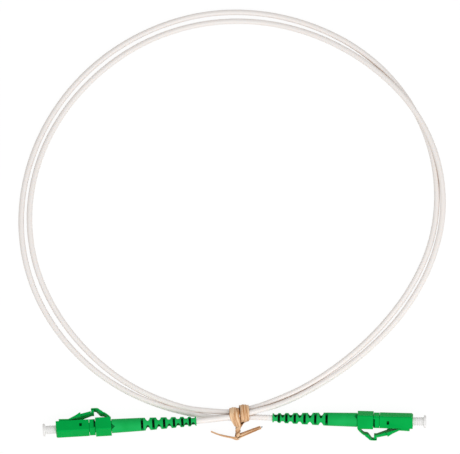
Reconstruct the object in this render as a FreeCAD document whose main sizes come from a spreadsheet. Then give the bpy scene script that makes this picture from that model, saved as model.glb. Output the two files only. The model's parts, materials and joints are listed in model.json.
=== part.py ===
# Fibre optic patch cord: one metre of two millimetre cable with a small square plug at each end,
# laid down in two loose turns and held by a paper twist tie.
#
# Units are millimetres. The floor is z = 0, +X runs from plug A to plug B, +Y runs from the plugs
# towards the coil and +Z is up. Each plug is drawn in its own frame and then placed: its X runs from
# the plug's front face back towards the cable, its Z points out of the face that carries the latch.
import FreeCAD, Part

import math
import os

import Sketcher

Vector = FreeCAD.Vector

doc = FreeCAD.newDocument("patch_cord")
sheet = doc.addObject("Spreadsheet::Sheet", "Sizes")


class Size:
    """A number together with the spreadsheet expression that gives it."""

    def __init__(self, value, text):
        self.value = float(value)
        self.text = text

    def __add__(self, other):
        return Size(self.value + number(other), f"({self.text} + {formula(other)})")

    def __radd__(self, other):
        return Size(number(other) + self.value, f"({formula(other)} + {self.text})")

    def __sub__(self, other):
        return Size(self.value - number(other), f"({self.text} - {formula(other)})")

    def __rsub__(self, other):
        return Size(number(other) - self.value, f"({formula(other)} - {self.text})")

    def __mul__(self, other):
        return Size(self.value * number(other), f"({self.text} * {formula(other)})")

    def __rmul__(self, other):
        return Size(number(other) * self.value, f"({formula(other)} * {self.text})")

    def __truediv__(self, other):
        return Size(self.value / number(other), f"({self.text} / {formula(other)})")

    def __neg__(self):
        return Size(-self.value, f"(-1 * {self.text})")

    def __float__(self):
        return self.value


def number(value):
    """The plain number behind a Size, or the number itself."""
    return value.value if isinstance(value, Size) else float(value)


def formula(value):
    """The expression behind a Size, or the number written out."""
    return value.text if isinstance(value, Size) else repr(float(value))


cells_used = 0


def size(alias, value, meaning):
    """Write one driving dimension to the sheet and return it."""
    global cells_used
    cells_used += 1
    sheet.set(f"A{cells_used}", str(value))
    sheet.setAlias(f"A{cells_used}", alias)
    sheet.set(f"B{cells_used}", meaning)
    return Size(value, f"Sizes.{alias}")


# Cable
CORD_DIA = size("cord_dia", 2.0, "outer diameter of the cable jacket")
JACKET_WALL = size("jacket_wall", 0.35, "wall of the jacket")
BUFFER_DIA = size("buffer_dia", 0.9, "diameter of the tight buffered fibre")
FIBRE_DIA = size("fibre_dia", 0.125, "diameter of the bare glass fibre")
LAYER_GAP = size("layer_gap", 0.04, "clearance between the layers of the cable, on the radius")

# Ferrule, dust cap and the carriage behind the ferrule
FERRULE_DIA = size("ferrule_dia", 1.249, "outer diameter of the ferrule")
FERRULE_LENGTH = size("ferrule_length", 6.5, "length of the ferrule")
FERRULE_REACH = size("ferrule_reach", 1.2, "how far the ferrule stands out of the plug's front face")
FERRULE_BORE = size("ferrule_bore", 0.126, "fibre hole through the ferrule")
FERRULE_BEVEL = size("ferrule_bevel", 0.2, "bevel round the ferrule's tip")
POLISH_ANGLE = size("polish_angle", 8, "angle of the polished end face, in degrees")
FERRULE_TRAVEL = size("ferrule_travel", 1.0, "how far the ferrule can be pushed back")
CAP_DIA = size("cap_dia", 2.9, "outer diameter of the dust cap's barrel")
CAP_FLANGE_DIA = size("cap_flange_dia", 4.4, "diameter of the dust cap's flange")
CAP_FLANGE = size("cap_flange", 1.0, "thickness of the dust cap's flange")
CAP_REACH = size("cap_reach", 5.1, "how far the dust cap stands out of the plug")
CAP_DEPTH = size("cap_depth", 2.4, "how far the dust cap goes into the plug")
CAP_FLOOR_GAP = size("cap_floor_gap", 1.4, "free space between the ferrule's tip and the cap's floor")
CAP_CLEARANCE = size("cap_clearance", 0.03, "clearance of the cap on the ferrule, on the radius")
CAP_DRAFT = size("cap_draft", 0.08, "how much thinner the cap's barrel is at its open end, on the radius")
CAP_DIMPLE_DIA = size("cap_dimple_dia", 2.2, "diameter of the dimple in the cap's end face")
CAP_DIMPLE = size("cap_dimple", 0.3, "depth of the dimple in the cap's end face")
COLLAR_ACROSS = size("collar_across", 2.9, "width across the flats of the ferrule holder's collar")
COLLAR_LENGTH = size("collar_length", 1.5, "length of the collar")
NOSE_DIA = size("nose_dia", 2.0, "diameter of the holder's nose")
NOSE_LENGTH = size("nose_length", 0.6, "length of the holder's nose")
TAIL_DIA = size("tail_dia", 1.5, "diameter of the holder's tail")
TAIL_LENGTH = size("tail_length", 4.5, "length of the holder's tail")
SPRING_DIA = size("spring_dia", 2.5, "outer diameter of the spring")
SPRING_WIRE = size("spring_wire", 0.3, "wire of the spring")
SPRING_TURNS = size("spring_turns", 7, "turns of the spring")
SPRING_LENGTH = size("spring_length", 6.0, "length of the spring in the plug")

# Plug housing and its latch
PLUG_WIDTH = size("plug_width", 4.5, "outer width and height of the plug housing")
PLUG_LENGTH = size("plug_length", 12.0, "length of the plug housing")
PLUG_EDGE = size("plug_edge", 0.22, "bevel along the plug's long edges")
PLUG_LEAD_IN = size("plug_lead_in", 0.45, "bevel on the front edge away from the latch")
MOUTH_DIA = size("mouth_dia", 3.1, "bore round the ferrule at the plug's front")
MOUTH_DEPTH = size("mouth_depth", 3.0, "depth of that bore")
SEAT_AT = size("seat_at", 4.0, "where the collar of the ferrule holder rests")
NOSE_CLEARANCE = size("nose_clearance", 0.06, "clearance round the holder's nose, on the radius")
REAR_BORE = size("rear_bore", 3.6, "bore of the housing behind its seat")
WINDOW_AT = size("window_at", 8.95, "centre of the windows in the plug's sides")
WINDOW_LENGTH = size("window_length", 0.9, "length of a window along the plug")
WINDOW_HEIGHT = size("window_height", 1.35, "height of a window")
ROOT_FRONT = size("root_front", 1.4, "front end of the plate that carries the latch")
ROOT_RISE = size("root_rise", 0.73, "height of that plate above the housing")
ROOT_WIDTH = size("root_width", 3.4, "width of that plate")
LATCH_PIVOT_AT = size("latch_pivot_at", 4.75, "where the latch bends")
LATCH_ROOT = size("latch_root", 0.3, "radius of the latch at its bend")
HINGE_GAP = size("hinge_gap", 0.05, "clearance of a rounded hinge root in its hollow")
LATCH_WIDTH = size("latch_width", 2.3, "width of the latch's arm")
LATCH_THICK = size("latch_thick", 0.95, "thickness of the latch's arm")
LATCH_SLOPE = size("latch_slope", 18.5, "rise of the latch's arm, in degrees")
WING_WIDTH = size("wing_width", 4.1, "width over the latch's two locking shoulders")
WING_AT = size("wing_at", 8.55, "where the locking shoulders end")
WING_RISE = size("wing_rise", 0.55, "how far the shoulders stand above the arm")
TAB_AT = size("tab_at", 13.0, "front of the tab at the latch's end")
TAB_LENGTH = size("tab_length", 1.0, "length of the tab")
TAB_TOP = size("tab_top", 6.85, "top of the tab above the plug's axis")

# Backbone, trigger clip and lever
BACKBONE_DIA = size("backbone_dia", 3.5, "tube of the backbone inside the housing")
BACKBONE_FRONT = size("backbone_front", 7.2, "front end of the backbone")
SPRING_ROOM = size("spring_room", 0.1, "clearance round the spring, on the radius")
BARB_RISE = size("barb_rise", 0.35, "how far a barb stands out of the backbone")
BARB_SLACK = size("barb_slack", 0.08, "clearance of a barb in its window")
SEAM = size("seam", 0.12, "gap between neighbouring moulded pieces along the plug")
NECK_WIDTH = size("neck_width", 4.3, "width of the backbone's square neck")
NECK_END = size("neck_end", 14.2, "rear end of the neck")
NECK_EDGE = size("neck_edge", 0.5, "bevel of the neck's long edges")
NECK_SLOT = size("neck_slot", 0.55, "length of the slot in the neck's sides")
CLIP_SEAT_DIA = size("clip_seat_dia", 3.9, "part of the backbone that carries the clip")
CLIP_WIDTH = size("clip_width", 5.3, "outer width of the trigger clip")
CLIP_LENGTH = size("clip_length", 5.7, "length of the trigger clip")
CLIP_EDGE = size("clip_edge", 0.35, "bevel of the clip's long edges")
FIT_GAP = size("fit_gap", 0.05, "clearance of pieces that slide over each other, on the radius")
LEVER_PIVOT_BACK = size("lever_pivot_back", 0.75, "how far the lever's bend lies from the clip's rear")
LEVER_ROOT = size("lever_root", 0.4, "radius of the lever at its bend")
LEVER_WIDTH = size("lever_width", 2.4, "width of the lever")
LEVER_CREST_RUN = size("lever_crest_run", 2.05, "from the lever's tip back to its knee")
LEVER_REST_RUN = size("lever_rest_run", 1.25, "length of the flat under the lever's tip")
LEVER_TOP = size("lever_top", 7.5, "top of the lever above the plug's axis")
LEVER_TIP_OVERLAP = size("lever_tip_overlap", 0.75, "how far the lever's tip reaches over the tab")
LEVER_TIP_THICK = size("lever_tip_thick", 0.5, "thickness of the lever's tip")
LEVER_GAP = size("lever_gap", 0.2, "space between the lever's tip and the latch's tab")
LEVER_WINDOW_WIDTH = size("lever_window_width", 1.2, "width of the window in the lever")

# Crimp, boot and what runs through them
STEM_DIA = size("stem_dia", 2.9, "crimp stem at the back of the backbone")
STEM_END = size("stem_end", 26.2, "rear end of the stem")
STEM_GROOVE = size("stem_groove", 0.1, "depth of a groove")
YARN_WALL = size("yarn_wall", 0.1, "thickness of the yarn folded over the stem")
CRIMP_WALL = size("crimp_wall", 0.2, "wall of the crimp sleeve")
CRIMP_LENGTH = size("crimp_length", 6.6, "length of the crimp sleeve")
GUIDE_WALL = size("guide_wall", 0.3, "wall of the guide tube")
GUIDE_SLACK = size("guide_slack", 0.05, "clearance of the fibre in the guide tube, on the radius")
JACKET_FRONT = size("jacket_front", 27.5, "where the cable's jacket begins")
BOOT_BASE_DIA = size("boot_base_dia", 4.7, "diameter of the boot at its base")
BOOT_WAIST_DIA = size("boot_waist_dia", 4.35, "diameter of the boot where its slots begin")
BOOT_END_DIA = size("boot_end_dia", 3.1, "diameter of the boot at its end")
BOOT_PLAIN = size("boot_plain", 10.4, "length of the boot before its slots")
BOOT_LENGTH = size("boot_length", 30.7, "length of the boot")
BOOT_CAVITY = size("boot_cavity", 8.6, "depth of the cavity over the crimp sleeve")
BOOT_CLEARANCE = size("boot_clearance", 0.075, "clearance of the cable in the boot, on the radius")
BOOT_CORE_WALL = size("boot_core_wall", 0.2, "wall that the slots leave round the cable")
SLOT_START = size("slot_start", 0.6, "first slot, from the end of the boot's plain length")
SLOT_RATIO = size("slot_ratio", 0.905, "each pitch as a share of the one before")
SLOT_WIDTH = size("slot_width", 0.66, "width of a slot")
SLOT_WEB = size("slot_web", 0.3, "web left at the top and bottom of a slot")
NOTCH_WIDTH = size("notch_width", 1.0, "width of a notch between two slots")
NOTCH_DEPTH = size("notch_depth", 1.2, "depth of a notch")
NOTCH_FLOOR = size("notch_floor", 0.7, "least distance of a notch's floor from the axis")
SLOT_COUNT = 6
GROOVE_COUNT = 4

# How the plugs lie: each rests on its lever, turned so that its latch looks down and outwards
PLUG_ROLL = size("plug_roll", 26.5, "how far the latch turns down from level, in degrees")
EXIT_A_X = size("exit_a_x", -14.0, "where the cable leaves boot A")
EXIT_A_Y = size("exit_a_y", 1.0, "where the cable leaves boot A")
HEADING_A = size("heading_a", 3.4, "direction of plug A from its tip to its boot, in degrees")
PITCH_A = size("pitch_a", 0.0, "how far plug A drops towards its boot, in degrees")
EXIT_B_X = size("exit_b_x", 13.6, "where the cable leaves boot B")
EXIT_B_Y = size("exit_b_y", 2.4, "where the cable leaves boot B")
HEADING_B = size("heading_b", 178.3, "direction of plug B from its tip to its boot, in degrees")
PITCH_B = size("pitch_b", 3.2, "how far plug B drops towards its boot, in degrees")

# Coil and tie
STRAND_GAP = size("strand_gap", 0.55, "least space between two strands that cross or lie side by side")
RIBBON_WIDTH = size("ribbon_width", 3.4, "width of a wrap of the tie's ribbon")
RIBBON_THICK = size("ribbon_thick", 0.5, "thickness of the tie's ribbon over its wire")
RIBBON_SLACK = size("ribbon_slack", 0.35, "space between the ribbon and the strands")
RIBBON_LIFT = size("ribbon_lift", 0.05, "height of the ribbon above the floor")
WRAP_INSET = size("wrap_inset", 0.5, "first wrap, from the left edge of the tied stretch")
WRAP_GAP = size("wrap_gap", 0.4, "space between the two wraps")
TAIL_WIDTH = size("tail_width", 3.2, "width of the tails, which stand on edge")
NECK_BREADTH = size("neck_breadth", 2.2, "breadth of the twisted neck")
NECK_THICK = size("neck_thick", 1.6, "thickness of the twisted neck")
TIE_WIRE_DIA = size("tie_wire_dia", 0.36, "wire in the tie")
WIRE_BARE = size("wire_bare", 0.6, "how far the wire stands out of the right tail")

TIP = -FERRULE_REACH
FERRULE_REAR = TIP + FERRULE_LENGTH
COLLAR_REAR = SEAT_AT + COLLAR_LENGTH
TAIL_REAR = COLLAR_REAR + TAIL_LENGTH
SPRING_REAR = COLLAR_REAR + SPRING_LENGTH
BUFFER_FRONT = FERRULE_REAR + FERRULE_TRAVEL + 2 * FIT_GAP
BARE_REAR = BUFFER_FRONT + 1.5 * FERRULE_TRAVEL
CLIP_FRONT = NECK_END + SEAM
CLIP_REAR = CLIP_FRONT + CLIP_LENGTH
CLIP_TOP = CLIP_WIDTH / 2
CLIP_SEAT_END = CLIP_REAR + SEAM
BOOT_BASE = CLIP_REAR + SEAM
BOOT_END = BOOT_BASE + BOOT_LENGTH
GUIDE_BORE = BUFFER_DIA / 2 + GUIDE_SLACK
GUIDE_RADIUS = GUIDE_BORE + GUIDE_WALL
BACKBONE_BORE = GUIDE_RADIUS + FIT_GAP
STEM_RADIUS = STEM_DIA / 2
YARN_INNER = STEM_RADIUS + LAYER_GAP
YARN_OUTER = YARN_INNER + YARN_WALL
CRIMP_INNER = YARN_OUTER + LAYER_GAP
CRIMP_OUTER = CRIMP_INNER + CRIMP_WALL
CABLE_RADIUS = CORD_DIA / 2
JACKET_BORE = CABLE_RADIUS - JACKET_WALL
CABLE_YARN_OUTER = JACKET_BORE - LAYER_GAP
CABLE_YARN_INNER = BUFFER_DIA / 2 + LAYER_GAP
BOOT_BORE = CABLE_RADIUS + BOOT_CLEARANCE
BOOT_CORE = BOOT_BORE + BOOT_CORE_WALL
LATCH_PIVOT_UP = PLUG_WIDTH / 2 + ROOT_RISE / 2
LEVER_PIVOT_AT = CLIP_REAR - LEVER_PIVOT_BACK
LEVER_PIVOT_UP = CLIP_TOP + LEVER_ROOT / 3
LEVER_TIP_AT = TAB_AT + TAB_LENGTH - LEVER_TIP_OVERLAP
LEVER_KNEE = (LEVER_TIP_AT + LEVER_CREST_RUN, LEVER_TOP - LEVER_TIP_THICK * 0.6)
LEVER_CREST = [LEVER_KNEE, (LEVER_TIP_AT + FIT_GAP, LEVER_TOP)]


def bind(feature, name, value):
    """Set a number and tie it to the sheet."""
    setattr(feature, name, number(value))
    if isinstance(value, Size):
        feature.setExpression(name, value.text)


def new_body(label):
    """An empty body that carries the label its piece is written under."""
    body = doc.addObject("PartDesign::Body", label)
    body.Label = label
    return body


def sketch_on(body, role, name, offset=0.0):
    """A sketch on one of the body's own planes, moved along its normal by offset."""
    sketch = body.newObject("Sketcher::SketchObject", name)
    plane = [item for item in body.Origin.OriginFeatures if item.Role == role][0]
    sketch.AttachmentSupport = [(plane, "")]
    sketch.MapMode = "FlatFace"
    sketch.AttachmentOffset.Base.z = number(offset)
    if isinstance(offset, Size):
        sketch.setExpression("AttachmentOffset.Base.z", offset.text)
    return sketch


def pin_point(sketch, line, point):
    """Tie the start of a line to a point whose coordinates come from the sheet."""
    for kind, value in zip(("DistanceX", "DistanceY"), point):
        index = sketch.addConstraint(Sketcher.Constraint(kind, -1, 1, line, 1, number(value)))
        if isinstance(value, Size):
            sketch.setExpression(f"Constraints[{index}]", value.text)


def outline(sketch, points):
    """Add a closed outline of straight lines through the points."""
    first = sketch.GeometryCount
    count = len(points)
    corners = [Vector(number(x), number(y), 0) for x, y in points]
    lines = [Part.LineSegment(corners[i], corners[(i + 1) % count]) for i in range(count)]
    sketch.addGeometry(lines, False)
    for i in range(count):
        after = first + (i + 1) % count
        sketch.addConstraint(Sketcher.Constraint("Coincident", first + i, 2, after, 1))
    for i, point in enumerate(points):
        pin_point(sketch, first + i, point)


def circle(sketch, radius, centre=(0, 0)):
    """Add a circle whose radius and centre come from the sheet."""
    middle = Vector(number(centre[0]), number(centre[1]), 0)
    index = sketch.addGeometry(Part.Circle(middle, Vector(0, 0, 1), number(radius)), False)
    ring = sketch.addConstraint(Sketcher.Constraint("Radius", index, number(radius)))
    if isinstance(radius, Size):
        sketch.setExpression(f"Constraints[{ring}]", radius.text)
    for kind, value in zip(("DistanceX", "DistanceY"), centre):
        at = sketch.addConstraint(Sketcher.Constraint(kind, -1, 1, index, 3, number(value)))
        if isinstance(value, Size):
            sketch.setExpression(f"Constraints[{at}]", value.text)


def square(sketch, half, edge):
    """Add a square round the origin with bevelled corners."""
    inner = half - edge
    corners = [(half, inner), (inner, half), (-inner, half), (-half, inner)]
    corners += [(-x, -y) for x, y in corners]
    outline(sketch, corners)


def rectangle(sketch, left, right, low, high):
    """Add a rectangle."""
    outline(sketch, [(left, low), (right, low), (right, high), (left, high)])


def pad(body, sketch, name, length, centred=False):
    """Push a sketch out into a solid."""
    feature = body.newObject("PartDesign::Pad", name)
    feature.Profile = sketch
    feature.SideType = "Symmetric" if centred else "One side"
    bind(feature, "Length", length)
    return feature


def pocket(body, sketch, name, length):
    """Cut a sketch's shape out of a body, half of the length to each side of its plane."""
    doc.recompute()
    before = body.Shape.Volume
    feature = body.newObject("PartDesign::Pocket", name)
    feature.Profile = sketch
    feature.SideType = "Symmetric"
    bind(feature, "Length", length)
    doc.recompute()
    if body.Shape.Volume >= before:
        raise RuntimeError(f"{body.Label}: {name} cuts nothing")
    return feature


def turn(body, points, name, kind="Revolution"):
    """Turn an outline of (along, radius) points about the plug's axis, to add or to cut."""
    sketch = sketch_on(body, "XZ_Plane", name + "_outline")
    outline(sketch, points)
    if kind == "Groove":
        doc.recompute()
    before = body.Shape.Volume if kind == "Groove" else 0.0
    feature = body.newObject("PartDesign::" + kind, name)
    feature.Profile = sketch
    feature.ReferenceAxis = (sketch, ["H_Axis"])
    feature.Angle = 360
    if kind == "Groove":
        doc.recompute()
        if body.Shape.Volume >= before:
            raise RuntimeError(f"{body.Label}: {name} cuts nothing")
    return feature


def ring_outline(front, rear, inner, outer):
    """The outline of a plain tube."""
    return [(front, inner), (rear, inner), (rear, outer), (front, outer)]


def make_dust_cap(label):
    """Soft cap: a flanged, closed end and a barrel that slips over the ferrule."""
    body = new_body(label)
    front = -CAP_REACH
    shoulder = front + CAP_FLANGE
    barrel = CAP_DIA / 2
    bore = FERRULE_DIA / 2 + CAP_CLEARANCE
    floor = TIP - CAP_FLOOR_GAP
    rim = CAP_FLANGE_DIA / 2
    rim_edge = CAP_FLANGE / 8
    dimple = CAP_DIMPLE_DIA / 2
    points = [
        (front + CAP_DIMPLE, 0),
        (front + CAP_DIMPLE, dimple),
        (front, dimple),
        (front, rim - rim_edge),
        (front + rim_edge, rim),
        (shoulder - rim_edge, rim),
        (shoulder, rim - rim_edge),
        (shoulder, barrel),
        (CAP_DEPTH, barrel - CAP_DRAFT),
        (CAP_DEPTH, bore),
        (floor, bore),
        (floor, 0),
    ]
    turn(body, points, "cap")
    return body


def make_plug_housing(label):
    """Square housing with its bores, its two side windows and the plate that carries the latch."""
    body = new_body(label)
    half = PLUG_WIDTH / 2
    block = sketch_on(body, "YZ_Plane", "block_outline")
    square(block, half, PLUG_EDGE)
    pad(body, block, "block", PLUG_LENGTH)
    plate = sketch_on(body, "XZ_Plane", "plate_outline")
    sunk = half / 2
    rectangle(plate, ROOT_FRONT, LATCH_PIVOT_AT, half - sunk / 4, half + ROOT_RISE)
    pad(body, plate, "plate", ROOT_WIDTH, centred=True)
    mouth = MOUTH_DIA / 2
    throat = NOSE_DIA / 2 + NOSE_CLEARANCE
    rear = REAR_BORE / 2
    bore = [
        (0, 0),
        (PLUG_LENGTH, 0),
        (PLUG_LENGTH, rear),
        (SEAT_AT, rear),
        (SEAT_AT, throat),
        (MOUTH_DEPTH, throat),
        (MOUTH_DEPTH, mouth),
        (0, mouth),
    ]
    turn(body, bore, "bore", "Groove")
    windows = sketch_on(body, "XZ_Plane", "windows_outline")
    window_half = WINDOW_LENGTH / 2
    window_up = WINDOW_HEIGHT / 2
    rectangle(windows, WINDOW_AT - window_half, WINDOW_AT + window_half, -window_up, window_up)
    pocket(body, windows, "windows", PLUG_WIDTH + SEAM)
    hollow = sketch_on(body, "XZ_Plane", "hollow_outline")
    circle(hollow, LATCH_ROOT + HINGE_GAP, (LATCH_PIVOT_AT, LATCH_PIVOT_UP))
    pocket(body, hollow, "hollow", PLUG_WIDTH)
    lead_in = sketch_on(body, "XZ_Plane", "lead_in_outline")
    outline(lead_in, [(0, -half), (PLUG_LEAD_IN, -half), (0, PLUG_LEAD_IN - half)])
    pocket(body, lead_in, "lead_in", PLUG_WIDTH)
    return body


def slope_point(start, along, up):
    """A point of the latch, measured along and square to its arm from its bend."""
    angle = math.radians(number(LATCH_SLOPE))
    cosine = f"cos({LATCH_SLOPE.text} * 1deg)"
    sine = f"sin({LATCH_SLOPE.text} * 1deg)"
    x = number(along) * math.cos(angle) - number(up) * math.sin(angle)
    z = number(along) * math.sin(angle) + number(up) * math.cos(angle)
    x_text = f"({formula(along)} * {cosine} - {formula(up)} * {sine})"
    z_text = f"({formula(along)} * {sine} + {formula(up)} * {cosine})"
    return start[0] + Size(x, x_text), start[1] + Size(z, z_text)


def make_latch_arm(label):
    """Springy latch: a rounded root, a sloping arm with two locking shoulders, and an end tab."""
    body = new_body(label)
    pivot = (LATCH_PIVOT_AT, LATCH_PIVOT_UP)
    run = TAB_AT + TAB_LENGTH / 2 - LATCH_PIVOT_AT
    top_rise = LATCH_THICK - LATCH_ROOT
    arm = sketch_on(body, "XZ_Plane", "arm_outline")
    points = [
        slope_point(pivot, 0, -LATCH_ROOT),
        slope_point(pivot, run, -LATCH_ROOT),
        slope_point(pivot, run, top_rise),
        slope_point(pivot, run / 3, top_rise),
        slope_point(pivot, 0, LATCH_ROOT),
    ]
    outline(arm, points)
    pad(body, arm, "arm", LATCH_WIDTH, centred=True)
    root = sketch_on(body, "XZ_Plane", "root_outline")
    circle(root, LATCH_ROOT, pivot)
    pad(body, root, "root", WING_WIDTH - 2 * FIT_GAP, centred=True)
    wings = sketch_on(body, "XZ_Plane", "wings_outline")
    reach = (WING_AT - LATCH_PIVOT_AT) * 1.06
    outline(
        wings,
        [
            slope_point(pivot, 0, -LATCH_ROOT),
            slope_point(pivot, reach, -LATCH_ROOT / 2),
            slope_point(pivot, reach, top_rise + WING_RISE),
            slope_point(pivot, reach / 2, top_rise * 0.9),
            slope_point(pivot, 0, LATCH_ROOT),
        ],
    )
    pad(body, wings, "wings", WING_WIDTH, centred=True)
    tab = sketch_on(body, "XZ_Plane", "tab_outline")
    tab_foot = slope_point(pivot, run, -LATCH_ROOT)[1]
    rectangle(tab, TAB_AT, TAB_AT + TAB_LENGTH, tab_foot, TAB_TOP)
    pad(body, tab, "tab", LATCH_WIDTH, centred=True)
    return body


def make_ferrule(label):
    """Ceramic ferrule with its fibre hole, bevelled tip and angled, polished end face."""
    body = new_body(label)
    radius = FERRULE_DIA / 2
    hole = FERRULE_BORE / 2
    points = [
        (TIP, hole),
        (FERRULE_REAR, hole),
        (FERRULE_REAR, radius),
        (TIP + FERRULE_BEVEL, radius),
        (TIP, radius - FERRULE_BEVEL),
    ]
    turn(body, points, "rod")
    face = sketch_on(body, "XZ_Plane", "face_outline")
    tangent = f"tan({POLISH_ANGLE.text} * 1deg)"
    lean = math.tan(math.radians(number(POLISH_ANGLE)))
    drop = Size(2 * number(radius) * lean, f"(2 * {radius.text} * {tangent})")
    outline(face, [(TIP - radius, -radius), (TIP, -radius), (TIP + drop, radius), (TIP - radius, radius)])
    pocket(body, face, "face", 4 * radius)
    return body


def make_bare_fibre(label):
    """Glass fibre from the polished face to where its coating begins, and a little into the coating."""
    body = new_body(label)
    fibre = sketch_on(body, "YZ_Plane", "fibre_outline", TIP + FERRULE_BEVEL / 2)
    circle(fibre, FIBRE_DIA / 2)
    pad(body, fibre, "fibre", BARE_REAR - TIP - FERRULE_BEVEL / 2)
    return body


def make_ferrule_holder(label):
    """Metal holder behind the ferrule: nose, six-sided collar and tail."""
    body = new_body(label)
    grip = FERRULE_DIA / 2
    bore = BUFFER_DIA / 2 + LAYER_GAP
    nose = NOSE_DIA / 2
    tail = TAIL_DIA / 2
    front = SEAT_AT - NOSE_LENGTH
    points = [
        (front, grip),
        (FERRULE_REAR, grip),
        (FERRULE_REAR, bore),
        (TAIL_REAR, bore),
        (TAIL_REAR, tail),
        (COLLAR_REAR - FIT_GAP, tail),
        (COLLAR_REAR - FIT_GAP, nose),
        (front, nose),
    ]
    turn(body, points, "tube")
    collar = sketch_on(body, "YZ_Plane", "collar_outline", SEAT_AT)
    corner = COLLAR_ACROSS / math.sqrt(3)
    turns = [math.radians(60 * i) for i in range(6)]
    outline(collar, [(corner * math.cos(a), corner * math.sin(a)) for a in turns])
    circle(collar, nose - FIT_GAP)
    pad(body, collar, "collar", COLLAR_LENGTH)
    return body


def make_guide_tube(label):
    """Slippery tube that leads the coated fibre through the backbone."""
    body = new_body(label)
    front = SPRING_REAR + FIT_GAP
    turn(body, ring_outline(front, STEM_END - FIT_GAP, GUIDE_BORE, GUIDE_RADIUS), "tube")
    return body


def make_backbone(label):
    """Spring push: tube with barbs, square neck, seat for the clip and grooved crimp stem."""
    body = new_body(label)
    tube = BACKBONE_DIA / 2
    seat = CLIP_SEAT_DIA / 2
    neck_front = PLUG_LENGTH + SEAM
    spring_bore = SPRING_DIA / 2 + SPRING_ROOM
    profile = [
        (BACKBONE_FRONT, spring_bore),
        (SPRING_REAR, spring_bore),
        (SPRING_REAR, BACKBONE_BORE),
        (STEM_END, BACKBONE_BORE),
        (STEM_END, STEM_RADIUS),
        (CLIP_SEAT_END, STEM_RADIUS),
        (CLIP_SEAT_END, seat),
        (neck_front, seat),
        (neck_front, tube),
        (BACKBONE_FRONT, tube),
    ]
    turn(body, profile, "tube")
    neck = sketch_on(body, "YZ_Plane", "neck_outline", neck_front)
    square(neck, NECK_WIDTH / 2, NECK_EDGE)
    circle(neck, seat - FIT_GAP)
    pad(body, neck, "neck", NECK_END - neck_front)
    barbs = sketch_on(body, "XY_Plane", "barbs_outline")
    front = WINDOW_AT - WINDOW_LENGTH / 2 + BARB_SLACK
    rear = WINDOW_AT + WINDOW_LENGTH / 2 - BARB_SLACK
    foot = tube - FIT_GAP
    crest = tube + BARB_RISE
    outline(barbs, [(front, foot), (rear, foot), (rear, crest), (front, tube)])
    outline(barbs, [(front, -foot), (front, -tube), (rear, -crest), (rear, -foot)])
    pad(body, barbs, "barbs", WINDOW_HEIGHT - 2 * BARB_SLACK, centred=True)
    slots = sketch_on(body, "XZ_Plane", "neck_slots_outline")
    slot_up = NECK_WIDTH / 4
    rectangle(slots, NECK_END - NECK_SLOT, NECK_END, -slot_up, slot_up)
    slot_core = sketch_on(body, "YZ_Plane", "slot_core_outline", NECK_END - NECK_SLOT)
    pocket(body, slots, "neck_slots", NECK_WIDTH + SEAM)
    circle(slot_core, seat)
    circle(slot_core, BACKBONE_BORE)
    pad(body, slot_core, "slot_core", NECK_SLOT)
    doc.recompute()
    step = (STEM_END - CLIP_SEAT_END) / (GROOVE_COUNT + 1)
    for i in range(GROOVE_COUNT):
        middle = CLIP_SEAT_END + step * (i + 1)
        floor = STEM_RADIUS - STEM_GROOVE
        wide = ring_outline(middle - STEM_GROOVE, middle + STEM_GROOVE, floor, STEM_RADIUS + STEM_GROOVE)
        turn(body, wide, f"groove_{i + 1}", "Groove")
    return body


def make_trigger_clip(label):
    """Square clip that slides over the backbone and carries the trigger's bend."""
    body = new_body(label)
    sleeve = sketch_on(body, "YZ_Plane", "sleeve_outline", CLIP_FRONT)
    square(sleeve, CLIP_WIDTH / 2, CLIP_EDGE)
    circle(sleeve, CLIP_SEAT_DIA / 2 + FIT_GAP)
    pad(body, sleeve, "sleeve", CLIP_LENGTH)
    hollow = sketch_on(body, "XZ_Plane", "hollow_outline")
    circle(hollow, LEVER_ROOT + HINGE_GAP, (LEVER_PIVOT_AT, LEVER_PIVOT_UP))
    pocket(body, hollow, "hollow", CLIP_WIDTH)
    return body


def make_trigger_lever(label):
    """Trigger: rises forward from the clip's rear edge and ends over the latch's tab."""
    body = new_body(label)
    pivot = (LEVER_PIVOT_AT, LEVER_PIVOT_UP)
    tip_low = TAB_TOP + LEVER_GAP
    rise = LEVER_TOP - LEVER_PIVOT_UP
    lean = LEVER_ROOT * 0.7
    outer = [(pivot[0] + lean, pivot[1] + lean), *LEVER_CREST]
    tip = [(LEVER_TIP_AT, tip_low), (LEVER_TIP_AT + LEVER_REST_RUN, tip_low)]
    inner = [(pivot[0] - LEVER_ROOT * 0.9, pivot[1] + LEVER_ROOT / 8)]
    arm = sketch_on(body, "XZ_Plane", "arm_outline")
    outline(arm, outer + tip + inner)
    pad(body, arm, "arm", LEVER_WIDTH, centred=True)
    root = sketch_on(body, "XZ_Plane", "root_outline")
    circle(root, LEVER_ROOT, pivot)
    pad(body, root, "root", CLIP_WIDTH - 4 * CLIP_EDGE, centred=True)
    window = sketch_on(body, "YZ_Plane", "window_outline", LEVER_PIVOT_AT - rise / 2)
    half = LEVER_WINDOW_WIDTH / 2
    rectangle(window, -half, half, LEVER_PIVOT_UP + rise * 0.32, LEVER_PIVOT_UP + rise * 0.62)
    pocket(body, window, "window", 1.2 * rise)
    return body


def make_crimp_sleeve(label):
    """Metal sleeve crimped over the yarn on the stem."""
    body = new_body(label)
    front = CLIP_SEAT_END + SEAM
    turn(body, ring_outline(front, front + CRIMP_LENGTH, CRIMP_INNER, CRIMP_OUTER), "sleeve")
    return body


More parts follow.
